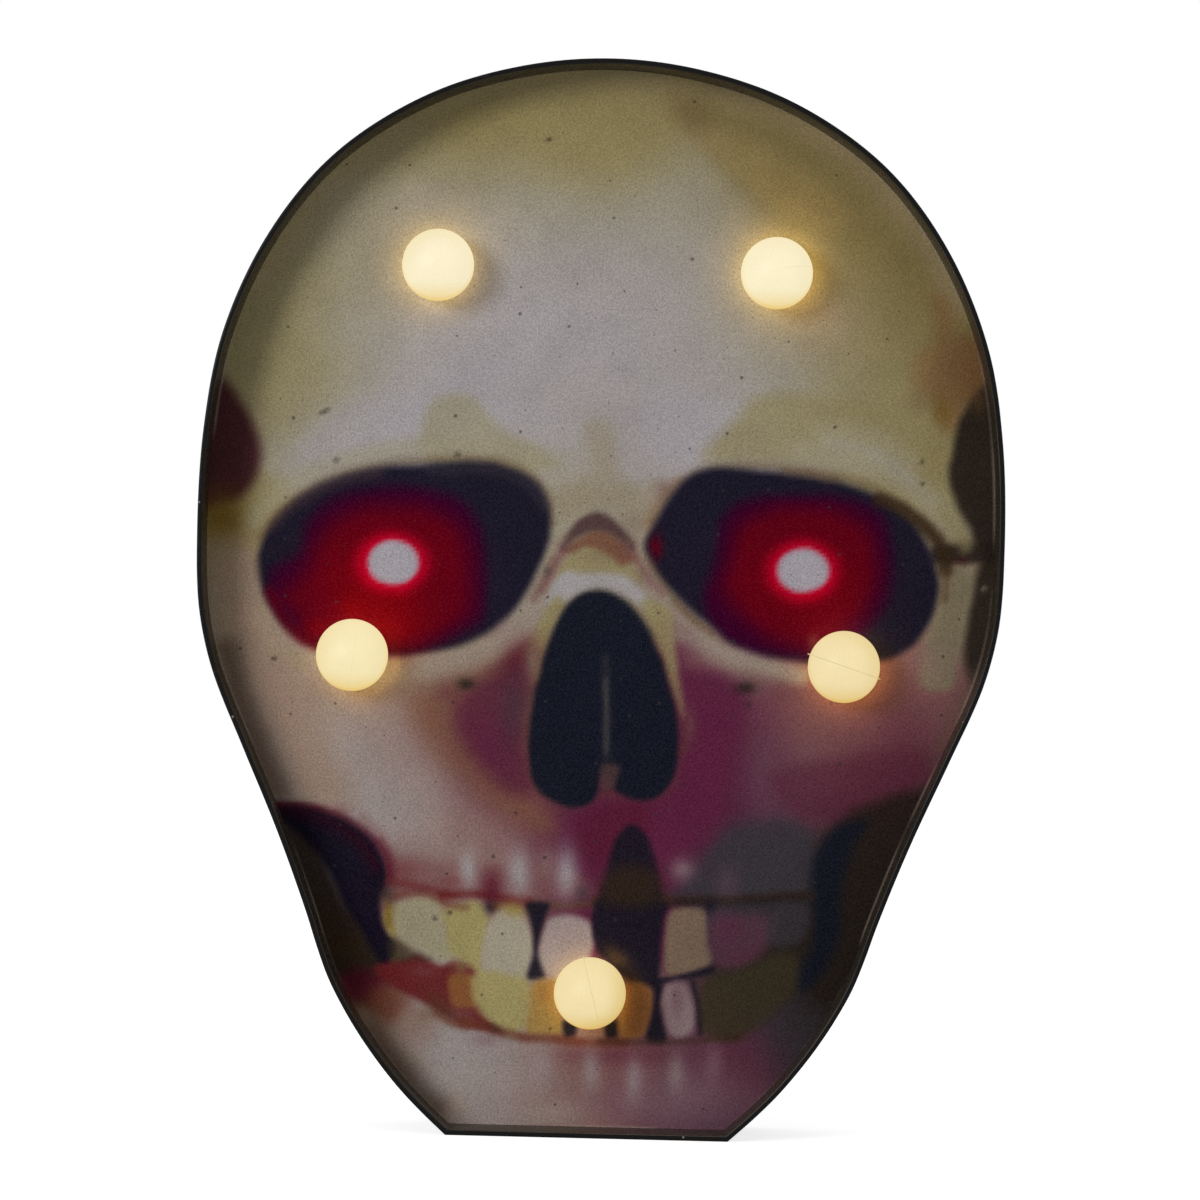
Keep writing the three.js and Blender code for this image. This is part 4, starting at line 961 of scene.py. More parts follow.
    spot("hotRed", 0.9, (803, 571), (37, 31), 0, 3),
    spot("pupil", 1, (803.4, 570.3), (27.5, 22.6), 0, 8),
    spot("eyeRed", 0.85, (656, 547), (7, 12)),
    # Marks in the surface
    spot("bone", 0.8, (213, 593), (3, 7)),
    spot("bone", 0.6, (984, 589), (3, 3)),
    *[spot("soot", 0.6, place, (2.7, 2.4), 0, 2) for place in facePrint["dirtMarks"]],
    spot("soot", 0.5, (324, 411), (6, 2.5), -20, 2),
    # The hollow of the nose, the wall in its middle and the notch between its lobes
    area("umber", 12, 0.25, (598, 586), (618, 590), (640, 608), (660, 640), (676, 690), (683, 735),
         (678, 780), (660, 800), (600, 800), (566, 810), (535, 790), (525, 750), (532, 690), (546, 636),
         (570, 598)),
    area("noseDark", 8, 0.98, (598, 590), (613, 593), (627, 602), (639, 614), (649, 630), (657, 649),
         (665, 670), (671, 692), (676, 714), (679, 736), (678, 756), (674, 774), (667, 788), (657, 797),
         (645, 801), (631, 799), (619, 793), (612, 786), (610, 776), (605, 773), (600, 780), (597, 794),
         (590, 803), (578, 807), (564, 806), (550, 800), (539, 791), (532, 778), (529, 762), (528, 744),
         (530, 724), (533, 704), (537, 684), (542, 664), (547, 646), (554, 628), (563, 611), (573, 599),
         (585, 592)),
    area("archBrown", 9, 0.85, (602, 764), (618, 766), (618, 776), (613, 788), (603, 790)),
    line("slate", 7, 11, 0.6, (605, 660), (606, 690), (607, 756)),
    line("tan", 3, 8, 0.3, (606, 680), (607, 750)),
]


def onBoard(x, z):
    # A place on the print in metres to board units
    turn = math.radians(board["turn"])
    across = (x / mm - board["middleAcross"]) * board["unitsPerMm"]
    down = (board["middleUp"] - z / mm) * board["unitsPerMm"]
    return (board["middle"] + math.cos(turn) * across - math.sin(turn) * down,
            board["middle"] + math.sin(turn) * across + math.cos(turn) * down)


def smooth(value):
    t = np.clip(value, 0, 1)
    return t * t * (3 - 2 * t)


def wander(u, v, size, seed):
    # Smooth noise from -1 to 1 whose clouds are about size units wide
    side = 256
    lattice = np.random.default_rng(seed).uniform(-1, 1, (side, side))
    a, b = u / size, v / size
    i, j = np.floor(a).astype(int), np.floor(b).astype(int)
    s, t = smooth(a - i), smooth(b - j)

    def pick(p, q):
        return lattice[p % side, q % side]

    low = pick(i, j) * (1 - s) + pick(i + 1, j) * s
    high = pick(i, j + 1) * (1 - s) + pick(i + 1, j + 1) * s
    return low * (1 - t) + high * t


def distanceTo(u, v, path, closed):
    # How far each place is from a path, and whether it is inside it
    leastSquare = 1e-9
    starts = path if closed else path[:-1]
    ends = np.roll(path, -1, axis=0) if closed else path[1:]
    nearest = np.full(len(u), np.inf)
    inside = np.zeros(len(u), bool)
    for (au, av), (bu, bv) in zip(starts, ends):
        du, dv = bu - au, bv - av
        t = np.clip(((u - au) * du + (v - av) * dv) / max(du * du + dv * dv, leastSquare), 0, 1)
        nearest = np.minimum(nearest, (u - au - t * du) ** 2 + (v - av - t * dv) ** 2)
        if closed and av != bv:
            crosses = (av > v) != (bv > v)
            inside ^= crosses & (u < du * (v - av) / dv + au)
    return np.sqrt(nearest), inside


def poolsOfInk(d, u, v, inks):
    # The pools' inks, mixed by how near each of them is
    total = np.zeros(len(u))
    colour = np.zeros((len(u), 3))
    for ink, pools in d["pools"].items():
        for pu, pv, reach in pools:
            weight = np.exp(-((u - pu) ** 2 + (v - pv) ** 2) / (2 * reach * reach)) + d["leastWeight"]
            total += weight
            colour += weight[:, None] * inks[ink]
    return colour / total[:, None]


def spotCover(layer, u, v):
    # How much a spot covers each place. A higher power gives it a flatter top and a sharper edge.
    (pu, pv), (ru, rv), turn = layer["centre"], layer["reach"], math.radians(layer["turn"])
    du, dv = u - pu, v - pv
    a = (math.cos(turn) * du + math.sin(turn) * dv) / ru
    b = (-math.sin(turn) * du + math.cos(turn) * dv) / rv
    return np.exp(-(a * a + b * b) ** layer["power"])


def pathCover(layer, u, v, steps):
    # How much an area or a line covers each place
    closed = layer["kind"] == "area"
    path = throughPoints(layer["points"], steps, closed)
    reach = layer["edge"] + layer.get("width", 0)
    low, high = path.min(axis=0) - reach, path.max(axis=0) + reach
    near = (u > low[0]) & (u < high[0]) & (v > low[1]) & (v < high[1])
    away, inside = distanceTo(u[near], v[near], path, closed)
    depth = np.where(inside, away, -away) if closed else layer["width"] / 2 - away
    cover = np.zeros(len(u))
    cover[near] = smooth(0.5 + depth / layer["edge"])
    return cover


def paintPrint(d, x, z):
    # The ink at each place, as linear colour
    u, v = onBoard(x, z)
    inks = {name: np.array(colour, float) for name, colour in d["inks"].items()}
    seeds = d["seeds"]
    wu = u + d["wobble"] * wander(u, v, d["wobbleSize"], seeds["across"])
    wv = v + d["wobble"] * wander(u, v, d["wobbleSize"], seeds["down"])
    colour = poolsOfInk(d, wu, wv, inks)
    for layer in d["layers"]:
        if layer["kind"] == "spot":
            cover = spotCover(layer, wu, wv)
        else:
            cover = pathCover(layer, wu, wv, d["curveSteps"])
        colour += (cover * layer["strength"])[:, None] * (inks[layer["ink"]] - colour)
    blotches = 1 + d["blotch"] * wander(u, v, d["blotchSize"], seeds["blotch"])
    return toLinear(np.clip(colour * blotches[:, None], 0, 255))


def paleEdgeHighlight(d, x, z, outline, ink):
    # A painted highlight: a paler line, broken in places, along the sheet's cut edge where it meets the wall
    away, _ = distanceTo(x, z, outline, True)
    broken = smooth(wander(x / mm, z / mm, d["rimBreaks"], d["seeds"]["rim"]) + 0.5)
    bare = np.where(away < d["rimWidth"] * mm, d["rimShare"] * broken, 0)[:, None]
    return ink * (1 - bare) + toLinear(d["rimHighlightInk"]) * bare


# Painted light round the balls: the tint and fade of the glow that the print emits
lampHalo = {
    "tint": (1.0, 0.66, 0.13), "start": 7.6, "haze": 0.006,
    # For each ball how far its glow leans right and up, its strength, and the distance it fades over
    "lamps": {"forehead_left": (-0.2, -0.1, 0.85, 2.6), "forehead_right": (0.8, 0.9, 1.15, 3.0),
              "cheek_left": (1.2, -0.6, 0.9, 2.5), "cheek_right": (0.8, -0.3, 1.15, 2.6),
              "mouth": (0, -0.5, 0.65, 2.3)},
}


def lampGlow(d, x, z, ink):
    # Painted light: the print emits a warm glow for the light that the lit balls spill close round them
    glow = np.zeros((len(x), 3))
    for name, place in lampPlaces.items():
        right, up, strength, fade = d["lamps"][name]
        away = np.hypot((x - place.x) / mm - right, (z - place.z) / mm - up)
        glow += strength * np.exp((d["start"] - np.maximum(away, d["start"])) / fade)[:, None]
    return glow * d["tint"] * (ink + d["haze"])


def sheetPoints(d, outline):
    # Rows of points across the sheet and one at its crown, and which of them the holes leave
    half = outline[:len(outline) // 2 + 1]
    half = half[half[:, 0] > -0.1 * tiny]
    steps = np.concatenate([[0], np.cumsum(np.linalg.norm(np.diff(half, axis=0), axis=1))])
    stations = np.linspace(0, steps[-1], d["rows"] + 1)
    reachX, reachZ = np.interp(stations, steps, half[:, 0]), np.interp(stations, steps, half[:, 1])
    share = np.linspace(-1, 1, d["columns"] + 1)
    x = np.append((reachX[:-1, None] * share).ravel(), 0)
    z = np.append(np.repeat(reachZ[:-1], d["columns"] + 1), reachZ[-1])
    hole = d["lampHole"] * mm
    keep = np.ones(len(x), bool)
    for place in lampPlaces.values():
        apart = np.hypot(x - place.x, z - place.z)
        rim = np.abs(apart - hole) < d["holeSnap"] * mm
        x[rim] = place.x + (x[rim] - place.x) * hole / apart[rim]
        z[rim] = place.z + (z[rim] - place.z) * hole / apart[rim]
        keep &= (apart > hole) | rim
    return x, z, keep


def makePrint(d):
    outline = inset(fineLoop, d["edge"] * mm)
    x, z, keep = sheetPoints(d, outline)
    columns = d["columns"] + 1
    faces = []
    for j in range(d["rows"] - 1):
        for i in range(columns - 1):
            a = j * columns + i
            ring = (a, a + 1, a + columns + 1, a + columns)
            if all(keep[k] for k in ring):
                faces.append(ring)
    top = (d["rows"] - 1) * columns
    faces += [(top + i, top + i + 1, len(x) - 1) for i in range(columns - 1)]
    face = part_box("face_print")[0].y
    mesh = bpy.data.meshes.new("printedFace")
    mesh.from_pydata(np.stack([x, np.full(len(x), face), z], axis=1).tolist(), [], faces)
    shape = bmesh.new()
    shape.from_mesh(mesh)
    bmesh.ops.delete(shape, geom=[v for v in shape.verts if not v.link_faces], context="VERTS")
    rim = [edge for edge in shape.edges if edge.is_boundary]
    grown = bmesh.ops.extrude_edge_only(shape, edges=rim)["geom"]
    for item in grown:
        if isinstance(item, bmesh.types.BMVert):
            item.co.y += d["thickness"] * mm
    back = [item for item in grown if isinstance(item, bmesh.types.BMEdge) and item.is_boundary]
    bmesh.ops.triangle_fill(shape, use_beauty=True, edges=back)
    shape.to_mesh(mesh)
    shape.free()
    obj = finishMesh("printedFace", mesh, smoothAngle=30)
    places = np.array([v.co for v in mesh.vertices], float)
    x, z = places[:, 0], places[:, 2]
    # The sheet's cut edge gets a painted highlight
    ink = paleEdgeHighlight(d, x, z, outline, paintPrint(d, x, z))
    for name, values in (("printInk", ink), ("printGlow", lampGlow(lampHalo, x, z, ink))):
        pointColours(mesh, name, np.hstack([values, np.ones((len(values), 1))]))
    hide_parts("face_print")
    return obj


def printMaterial(d):
    # Ink on a fine-toothed sheet: grain, dark specks, faint colour noise, a satin face and the balls' painted
    # glow
    material, tree, shader = newMaterial("printedSheet")
    fine = use(tree, "grain", **d["grain"])
    small = times(tree, mask(tree, "flatSpecks", **d["smallSpecks"]), d["smallShare"])
    large = times(tree, mask(tree, "flatSpecks", **d["largeSpecks"]), d["largeShare"])
    lift = times(tree, maths(tree, "SUBTRACT", fine["Height"], 0.5), d["lift"])
    lift = maths(tree, "MAXIMUM", lift, d["leastLift"])
    shade = tinted(tree, pointValue(tree, "printInk", "Color"), fine)
    shade = mixColour(tree, 1.0, shade, joined(tree, lift, lift, lift), "ADD")
    shade = mixColour(tree, maths(tree, "MAXIMUM", small, large), shade, rgba(d["speckInk"]))
    glow = tinted(tree, pointValue(tree, "printGlow", "Color"), fine)
    give(tree, shader, {
        "Base Color": shade, "Emission Color": glow, "Emission Strength": 1.0,
        "Roughness": roughness(tree, fine, *d["roughness"]), "Specular IOR Level": d["shine"],
        "Normal": bump(tree, fine, d["relief"], d["reliefStrength"])})
    return material


printObject = makePrint(facePrint)
printObject.data.materials.append(printMaterial(facePrint))
print("print made:", len(printObject.data.vertices), "points")

# The frosted balls. Each has a parting seam across it, at an angle and off its middle, with nibs of flash.
# A nib is a short tube, written as (degrees on from its place, how far out) with a radius at each point.
frostedBall = {
    "radius": 7.25, "wall": 1.0, "seat": 5.8, "neckRadius": 3.9, "neckBore": 3.2, "neckLength": 3.8,
    "rings": 40, "sides": 96, "base": (84, 81, 74), "low": (0.93, 0.81, 0.5), "ring": (0.95, 0.85, 0.6),
    "seamRadius": 0.07, "seamSteps": 60, "seamEnd": 0.35, "seamTaper": 6, "seamSides": 8,
    "nib": ((-3, -0.1), (0, 0.05), (2, 0.3), (3, 0.55)), "nibRadii": (0.16, 0.17, 0.12, 0.05),
    "lowFrom": -3.2, "lowTo": -7.1, "lowPower": 1.4,
    "ringFrom": 6.5, "ringSpan": 5, "ringShares": (0.15, 0.9),
    "grain": {"Scale": 2100.0, "Depth": 0.026, "Clouds": 1.2}, "roughness": (0.4, 0.52), "shine": 0.2,
    "relief": 0.02, "reliefStrength": 0.3, "dimFrom": 3.0, "dim": (0.9, 0.84, 0.62),
    # For each ball its glow, how dark its seam is, the seam's turn, its distance off the middle, the degrees
    # that it runs over, where it has nibs, and the side on which the glow dims outwards, with how much
    "each": {
        "forehead_left": {"tone": (240, 228, 192), "seam": 0.96, "turn": 60, "off": 6.3, "sweep": (-20, 50),
                          "nibs": (), "dimSide": (120, 0.45)},
        "forehead_right": {"tone": (240, 228, 190), "seam": 0.9, "turn": 7, "off": 0.6, "sweep": (4, 78),
                           "nibs": (), "dimSide": (90, 0.1)},
        "cheek_left": {"tone": (236, 220, 170), "seam": 0.95, "turn": 82, "off": -0.6, "sweep": (-60, 40),
                       "nibs": (), "dimSide": (180, 0.35)},
        "cheek_right": {"tone": (231, 211, 158), "seam": 0.72, "turn": -18, "off": 0.1, "sweep": (-86, 80),
                        "nibs": (-86, 80), "dimSide": (40, 0.4)},
        "mouth": {"tone": (231, 211, 157), "seam": 0.8, "turn": -75, "off": 0.5, "sweep": (-80, 50),
                  "nibs": (-80,), "dimSide": (-20, 0.95)},
    },
}


def ballProfile(d):
    # The ball's wall and its neck as (radius, y), from the front's outside round to the front's inside
    inner = d["radius"] - d["wall"]

    def arc(radius, end):
        angles = [end * i / d["rings"] for i in range(d["rings"] + 1)]
        return [(radius * math.sin(angle), -d["seat"] - radius * math.cos(angle)) for angle in angles]

    outside = arc(d["radius"], math.pi - math.acos(d["seat"] / d["radius"]))
    inside = arc(inner, math.pi - math.asin(d["neckBore"] / inner))[::-1]
    neck = [(d["neckRadius"], 0), (d["neckRadius"], d["neckLength"]), (d["neckBore"], d["neckLength"])]
    return [*outside, *neck, *inside]


def seamTrims(d, seam):
    # The seam's line and its nibs, as tubes that lie on the ball
    turn, off = math.radians(seam["turn"]), seam["off"]
    reach = math.sqrt(d["radius"] ** 2 - off ** 2)

    def onSeam(angle, lift=0.0):
        a = math.radians(angle)
        along, out = (reach + lift) * math.sin(a), -(reach + lift) * math.cos(a)
        return ((math.cos(turn) * along - math.sin(turn) * off) * mm, (out - d["seat"]) * mm,
                (math.sin(turn) * along + math.cos(turn) * off) * mm)

    low, high = seam["sweep"]
    steps, taper = d["seamSteps"], d["seamTaper"]
    points, radii = [], []
    for i in range(steps + 1):
        points.append(onSeam(low + (high - low) * i / steps))
        full = min(1, taper * i / steps, taper * (steps - i) / steps)
        radii.append(d["seamRadius"] * (d["seamEnd"] + (1 - d["seamEnd"]) * full))
    trims = [tubeAlong(points, radii, d["seamSides"])]
    for angle in seam["nibs"]:
        path = [onSeam(angle + math.copysign(1, angle) * on, lift) for on, lift in d["nib"]]
        trims.append(tubeAlong(path, d["nibRadii"], d["seamSides"]))
    return trims


def ballTones(d, seam, points, seamFrom):
    # The glow at each point in mm: darker on the seam, and dimmer towards the edge on one side
    side, share = seam["dimSide"]
    tones = np.ones((len(points), 4))
    tones[:, :3] = toLinear(seam["tone"])
    tones[seamFrom:, :3] *= seam["seam"]
    towards = np.maximum(np.cos(np.arctan2(points[:, 2], points[:, 0]) - math.radians(side)), 0)
    edge = smooth((np.hypot(points[:, 0], points[:, 2]) - d["dimFrom"]) / (d["radius"] - d["dimFrom"]))
    tones[:, :3] *= 1 - share * (towards * edge)[:, None] * (1 - np.array(d["dim"]))
    return tones


def makeBall(name, d, material):
    place, seam = lampPlaces[name], d["each"][name]
    body = lathe(ballProfile(d), d["sides"])
    verts, faces = joinShapes(body, *seamTrims(d, seam))
    obj = meshObject(f"frostedBall_{name}", verts, faces, smoothAngle=50)
    obj.location = (place.x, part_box("face_print")[0].y, place.z)
    obj.data.materials.append(material)
    pointColours(obj.data, "ballTone", ballTones(d, seam, np.array(verts) / mm, len(body[0])))
    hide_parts(f"globe_{name}")


def makeBallMaterial(d):
    # Lit frosted plastic: an even glow with faint clouds, deeper and more amber round its underside
    material, tree, shader = newMaterial("litFrostedPlastic")
    place = split(tree, objectPlace(tree))
    fine = use(tree, "grain", **d["grain"])
    tone = pointValue(tree, "ballTone", "Color")
    down = maths(tree, "POWER", ramp(tree, place["Z"], d["lowFrom"] * mm, d["lowTo"] * mm), d["lowPower"])
    shade = mixColour(tree, down, tone, mixColour(tree, 1.0, tone, (*d["low"], 1.0), "MULTIPLY"))
    away = vectorMaths(tree, "LENGTH", joined(tree, place["X"], place["Z"]))["Value"]
    span = d["ringSpan"] * mm
    ring = times(tree, ramp(tree, away, d["ringFrom"] * mm, d["radius"] * mm),
                 ramp(tree, place["Z"], span, -span, *d["ringShares"]))
    shade = mixColour(tree, ring, shade, mixColour(tree, 1.0, shade, (*d["ring"], 1.0), "MULTIPLY"))
    give(tree, shader, {
        "Base Color": tinted(tree, rgba(d["base"]), fine), "Emission Color": tinted(tree, shade, fine),
        "Emission Strength": 1.0, "Roughness": roughness(tree, fine, *d["roughness"]),
        "Specular IOR Level": d["shine"], "Normal": bump(tree, fine, d["relief"], d["reliefStrength"])})
    return material


ballMaterial = makeBallMaterial(frostedBall)
for lampName in lampNames:
    makeBall(lampName, frostedBall, ballMaterial)
print("balls made")

# Finishes of the parts behind: the cover and box, knob, cells, contacts, screws and leads
finishes = {
    "cover": plastic("grainedBlackPlastic", (30, 29, 31), (96, 92, 88), 0.52, 2600.0, 0.12, relief=0.05),
    # Raised marks: paler than the cover as a painted highlight, as raised letters catch light, and more
    # scuffed
    "mark": plastic("raisedPlasticHighlitAndScuffed", (62, 60, 60), (120, 114, 108), 0.4, 2600.0, 0.12, scuffs=0.5),
    "knob": plastic("knobPlastic", (206, 204, 198), (168, 160, 148), 0.42),
    "holder": plastic("milkyPlastic", (222, 219, 208), (186, 178, 160), 0.45, 1200.0),
    "led": plastic("ledEpoxy", (236, 226, 190), (200, 186, 150), 0.14, 900.0, scuffs=0.05, coat=0.5),
    "switch_case": metal("switchSteel", (178, 176, 170), 0.36),
    "contact": metal("nickelSpring", (196, 193, 184), 0.26),
    "screw": metal("blackenedScrew", (92, 92, 96), 0.34),
    "lead": plastic("leadSheath", (216, 210, 196), (160, 150, 132), 0.42, 1800.0, relief=0.04),
}

# The two cells, and the conical springs that press on their flat ends. Both are made along Y and stood up.
wrappedCell = {
    "sides": 72, "steelRadius": 6.2, "endRange": (0.45, 0.55),
    "bandFrom": 38.5, "bandShine": 0.5, "lineWidth": 0.7,
    "sleeve": (28, 62, 48), "band": (166, 164, 156), "bandLine": (206, 196, 170), "steel": (190, 188, 182),
    "grain": {"Scale": 1200.0, "Depth": 0.06, "Clouds": 0.8}, "scuffs": {"Scale": 80.0, "Amount": 0.3},
    "scuffInk": (170, 166, 156), "roughness": (0.24, 0.36), "relief": 0.02,
    "section": (
        (0, 0.15), (4.9, 0.15), (5.2, 0.4), (5.9, 0.4), (6.1, 0.1), (6.3, 0), (6.7, 0.06), (7, 0.3),
        (7.1, 0.7), (7.1, 48), (7, 48.35), (6.75, 48.6), (6.4, 48.7), (6.2, 48.6), (6.1, 48.3), (3.4, 48.3),
        (2.95, 48.42), (2.75, 48.75), (2.7, 49.6), (2.6, 49.85), (2.35, 50), (0, 50),
    ),
}
conicalSpring = {"wire": 0.6, "baseRadius": 4, "tipRadius": 2.6, "turns": 3.5, "flatTurns": 0.75,
                 "stepsPerTurn": 28, "sides": 12}


def standUp(obj, nodeName, place, upright):
    low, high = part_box(nodeName)
    obj.location = (place.x, place.y, low.z if upright else high.z)
    obj.rotation_euler.x = math.radians(90 if upright else -90)
    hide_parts(nodeName)


def makeCell(side, upright, d, material):
    nodeName = f"battery_cell_{side}"
    obj = meshObject(f"wrappedCell_{side}", *lathe(d["section"], d["sides"]), smoothAngle=40)
    bare = [math.hypot(v.co.x, v.co.z) < d["steelRadius"] * mm for v in obj.data.vertices]
    pointColours(obj.data, "bareSteel", np.repeat(bare, 4))
    obj.data.materials.append(material)
    standUp(obj, nodeName, middleOf(nodeName), upright)


def makeSpring(side, upright, d, material):
    nodeName = f"contact_spring_{side}"
    low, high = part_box(nodeName)
    rise = (high.z - low.z) / mm - d["wire"]
    turns = np.linspace(0, d["turns"], round(d["turns"] * d["stepsPerTurn"]) + 1)
    share = np.clip((turns - d["flatTurns"]) / (d["turns"] - 2 * d["flatTurns"]), 0, 1)
    radius = d["baseRadius"] + (d["tipRadius"] - d["baseRadius"]) * turns / d["turns"]
    angle = 2 * np.pi * turns
    along = d["wire"] / 2 + rise * share
    path = np.stack([radius * np.cos(angle), along, radius * np.sin(angle)], axis=1) * mm
    wire = tubeAlong(path, d["wire"] / 2, d["sides"], (0, 1, 0))
    obj = meshObject(f"conicalSpring_{side}", *wire, smoothAngle=50)
    obj.data.materials.append(material)
    standUp(obj, nodeName, middleOf(f"battery_cell_{side}"), upright)


def cellMaterial(d):
    # A plain wrapped cell: a dark green sleeve, a silver band round its positive end, and bare steel ends
    material, tree, shader = newMaterial("wrappedCell")
    fine = use(tree, "grain", **d["grain"])
    rubbed = mask(tree, "scuffs", **d["scuffs"])
    along = split(tree, objectPlace(tree))["Y"]
    ends = ramp(tree, pointValue(tree, "bareSteel"), *d["endRange"])
    band = maths(tree, "GREATER_THAN", along, d["bandFrom"] * mm)
    stripe = maths(tree, "COMPARE", along, d["bandFrom"] * mm)
    stripe.node.inputs[2].default_value = d["lineWidth"] / 2 * mm
    shade = rgba(d["sleeve"])
    for where, ink in ((band, "band"), (stripe, "bandLine"), (rubbed, "scuffInk"), (ends, "steel")):
        shade = mixColour(tree, where, shade, rgba(d[ink]))
    give(tree, shader, {
        "Base Color": tinted(tree, shade, fine), "Roughness": roughness(tree, fine, *d["roughness"]),
        "Metallic": maths(tree, "MAXIMUM", ends, times(tree, band, d["bandShine"])),
        "Normal": bump(tree, fine, d["relief"])})
    return material


finishes["cell"] = cellMaterial(wrappedCell)
for side, upright in (("left", True), ("right", False)):
    makeCell(side, upright, wrappedCell, finishes["cell"])
    makeSpring(side, upright, conicalSpring, finishes["contact"])
print("cells and springs made")

# Raised marks on the back: which way the switch is on, and which way the door slides
raisedMarks = {"letters": 3, "out": 0.22, "bayBack": 13.9, "wordsUp": 57.2, "words": {"ON": 8.4, "OFF": -8.8},
               "arrow": ((-3.2, 0), (3.2, 0), (0, 4.4)), "arrowUp": 92.5, "doorBack": 15.7, "arrowOut": 0.3,
               "arrowRoot": 0.3, "arrowEdge": 0.1}


def softenEdges(obj, width, angle=35):
    bevel = obj.modifiers.new("softEdges", "BEVEL")
    bevel.width = width * mm
    bevel.segments = 2
    bevel.limit_method = "ANGLE"
    bevel.angle_limit = math.radians(angle)
    bevel.use_clamp_overlap = False
    bevel.harden_normals = True


def raisedWord(word, across, d):
    letters = bpy.data.curves.new(f"letters_{word}", "FONT")
    letters.body, letters.size, letters.extrude = word, d["letters"] * mm, d["out"] * mm
    letters.align_x = letters.align_y = "CENTER"
    source = newObject(letters.name, letters)
    mesh = bpy.data.meshes.new_from_object(source.evaluated_get(bpy.context.evaluated_depsgraph_get()))
    bpy.data.objects.remove(source)
    obj = finishMesh(f"raisedWord_{word}", mesh)
    obj.location = (across * mm, d["bayBack"] * mm, d["wordsUp"] * mm)
    obj.rotation_euler = (math.radians(90), 0, math.radians(180))
    obj.data.materials.clear()
    obj.data.materials.append(finishes["mark"])


def raisedArrow(d):
    loop = [(x * mm, (z + d["arrowUp"]) * mm) for x, z in d["arrow"]]
    plate = holedPlate([loop], d["doorBack"] - d["arrowRoot"], d["doorBack"] + d["arrowOut"])
    obj = meshObject("slideArrow", *plate, body="door")
    obj.data.materials.append(finishes["mark"])
    softenEdges(obj, d["arrowEdge"])


for word, across in raisedMarks["words"].items():
    raisedWord(word, across, raisedMarks)
raisedArrow(raisedMarks)
print("raised marks made")

# What each frame node left in the scene is made of, by the start of its name, and whose edges are softened
kinds = {
    "back_cover": "cover", "battery_box": "cover", "battery_door": "cover", "switch_knob": "knob",
    "switch_body": "switch_case", "switch_jumper": "lead", "battery_cell": "cell", "holder": "holder",
    "led": "led", "lead": "lead", "cover_screw": "screw", "box_screw": "screw", "contact_spring": "contact",
    "bridge_contact": "contact", "negative_contact": "contact", "positive_contact": "contact",
}
softened = {"back_cover": 0.3, "battery_box": 0.25, "battery_door": 0.3, "switch_knob": 0.15,
            "switch_body": 0.1}
for nodeName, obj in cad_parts.items():
    starts = [key for key in kinds if nodeName.startswith(key)]
    if not starts:
        continue
    obj.data.materials.clear()
    obj.data.materials.append(finishes[kinds[max(starts, key=len)]])
    sharpen(obj.data)
    if nodeName in softened:
        softenEdges(obj, softened[nodeName])
print("finishes given")

# Stage: a white floor that keeps the shadow, a soft key light from the left, and an even white surround
stage = {"floorSide": 6.0, "floorColour": (190, 190, 190), "floorLift": 0.74, "roughness": 0.9, "shine": 0.1,
         "surround": 0.6, "white": (1, 1, 1, 1),
         "lights": {"key": {"turn": -36, "rise": 14.5, "away": 1.4, "side": 0.5, "watts": 10.8},
                    "fill": {"turn": 40, "rise": 12, "away": 1.6, "side": 0.9, "watts": 1.5}}}


def cameraSees(tree):
    path = tree.nodes.new("ShaderNodeLightPath").outputs
    seen = maths(tree, "MAXIMUM", path["Is Camera Ray"], path["Is Glossy Ray"])
    return maths(tree, "MAXIMUM", seen, path["Is Transmission Ray"])


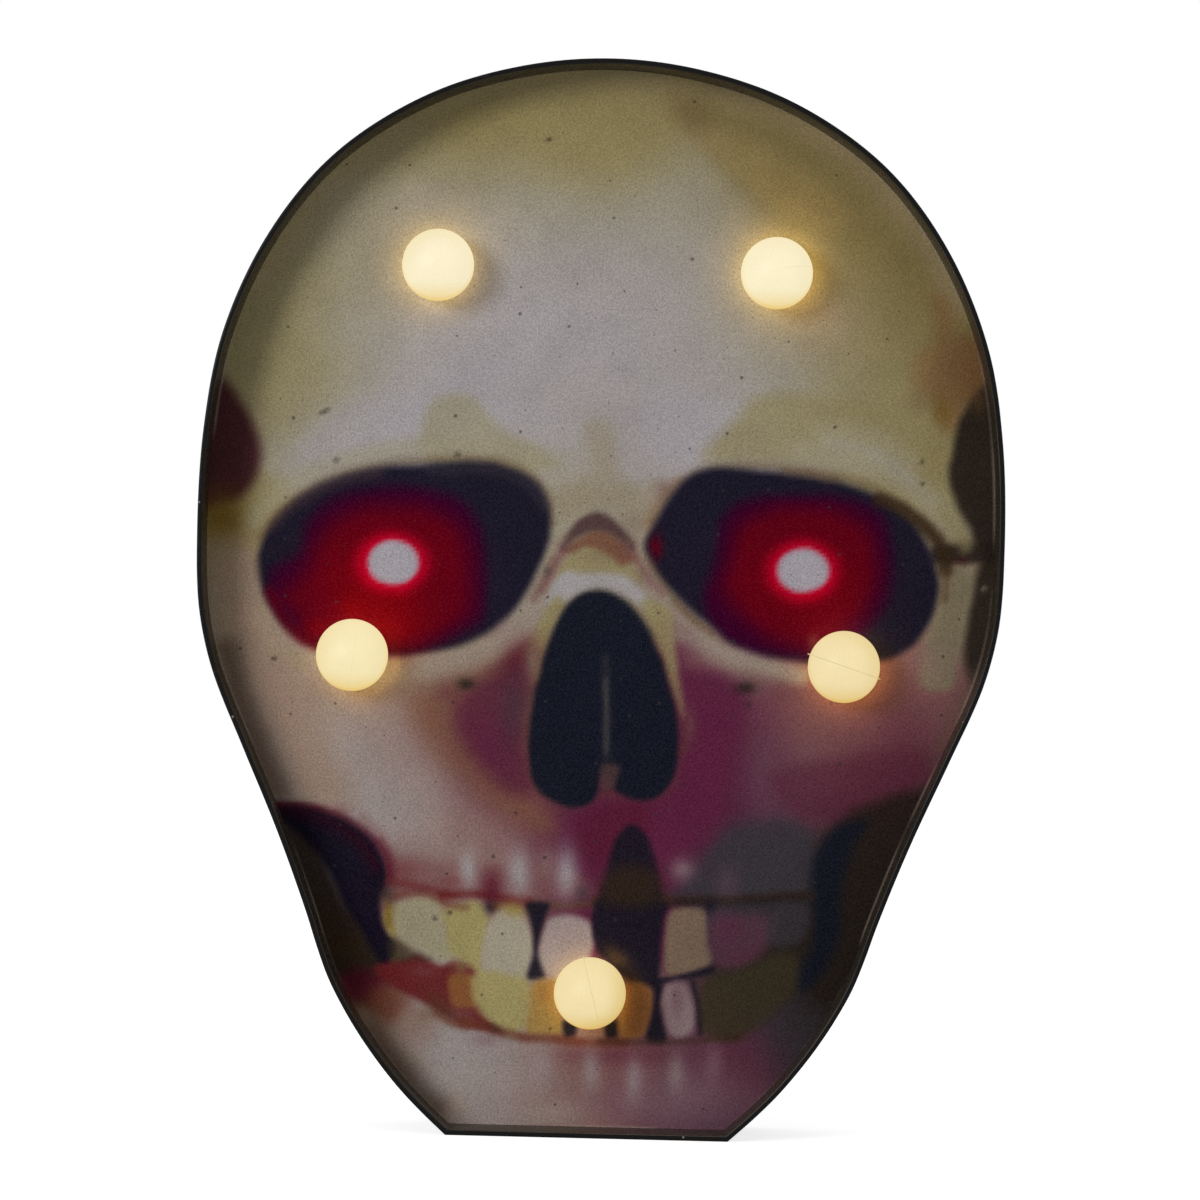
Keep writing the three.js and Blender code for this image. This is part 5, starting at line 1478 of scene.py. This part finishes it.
def makeFloor(d):
    side = d["floorSide"] / 2
    mesh = bpy.data.meshes.new("floor")
    corners = [(-side, -side, 0), (side, -side, 0), (side, side, 0), (-side, side, 0)]
    mesh.from_pydata(corners, [], [(0, 1, 2, 3)])
    floor = newObject("floor", mesh)
    material, tree, shader = newMaterial("paleFloor")
    give(tree, shader, {"Base Color": rgba(d["floorColour"]), "Roughness": d["roughness"],
                        "Specular IOR Level": d["shine"]})
    lift = node(tree, "ShaderNodeEmission", {
        "Color": d["white"], "Strength": times(tree, cameraSees(tree), d["floorLift"])})
    both = node(tree, "ShaderNodeAddShader", {0: shader.outputs[0], 1: lift.outputs[0]})
    out = next(n for n in tree.nodes if n.type == "OUTPUT_MATERIAL")
    tree.links.new(both.outputs[0], out.inputs["Surface"])
    mesh.materials.append(material)


def makeSurround(d):
    world = bpy.data.worlds.new("surround")
    bpy.context.scene.world = world
    world.use_nodes = True
    tree = world.node_tree
    back = next(n for n in tree.nodes if n.type == "BACKGROUND")
    strength = ramp(tree, cameraSees(tree), 0, 1, d["surround"], 1.0)
    give(tree, back, {"Color": d["white"], "Strength": strength})


def makeLights(d):
    aim = Vector((0, 0, board["middleUp"] * mm))
    for name, light in d["lights"].items():
        lamp = bpy.data.lights.new(name, "AREA")
        lamp.shape = "DISK"
        lamp.size = light["side"]
        lamp.energy = light["watts"]
        obj = newObject(name, lamp)
        turn, rise = math.radians(light["turn"]), math.radians(light["rise"])
        way = Vector((math.sin(turn) * math.cos(rise), -math.cos(turn) * math.cos(rise), math.sin(rise)))
        obj.location = aim + light["away"] * way
        obj.rotation_euler = way.to_track_quat("Z", "Y").to_euler()


makeFloor(stage)
makeSurround(stage)
makeLights(stage)

# The camera looks straight at the middle of the print's board, and is turned as the board is
view = {"lens": 165.11, "sensor": 36, "away": 1.1}
camera = bpy.data.cameras.new("camera")
camera.lens = view["lens"]
camera.sensor_width = view["sensor"]
cameraObject = newObject("camera", camera)
cameraObject.location = (board["middleAcross"] * mm, frontRim * mm - view["away"], board["middleUp"] * mm)
cameraObject.rotation_euler = (math.radians(90), math.radians(-board["turn"]), 0)
bpy.context.scene.camera = cameraObject
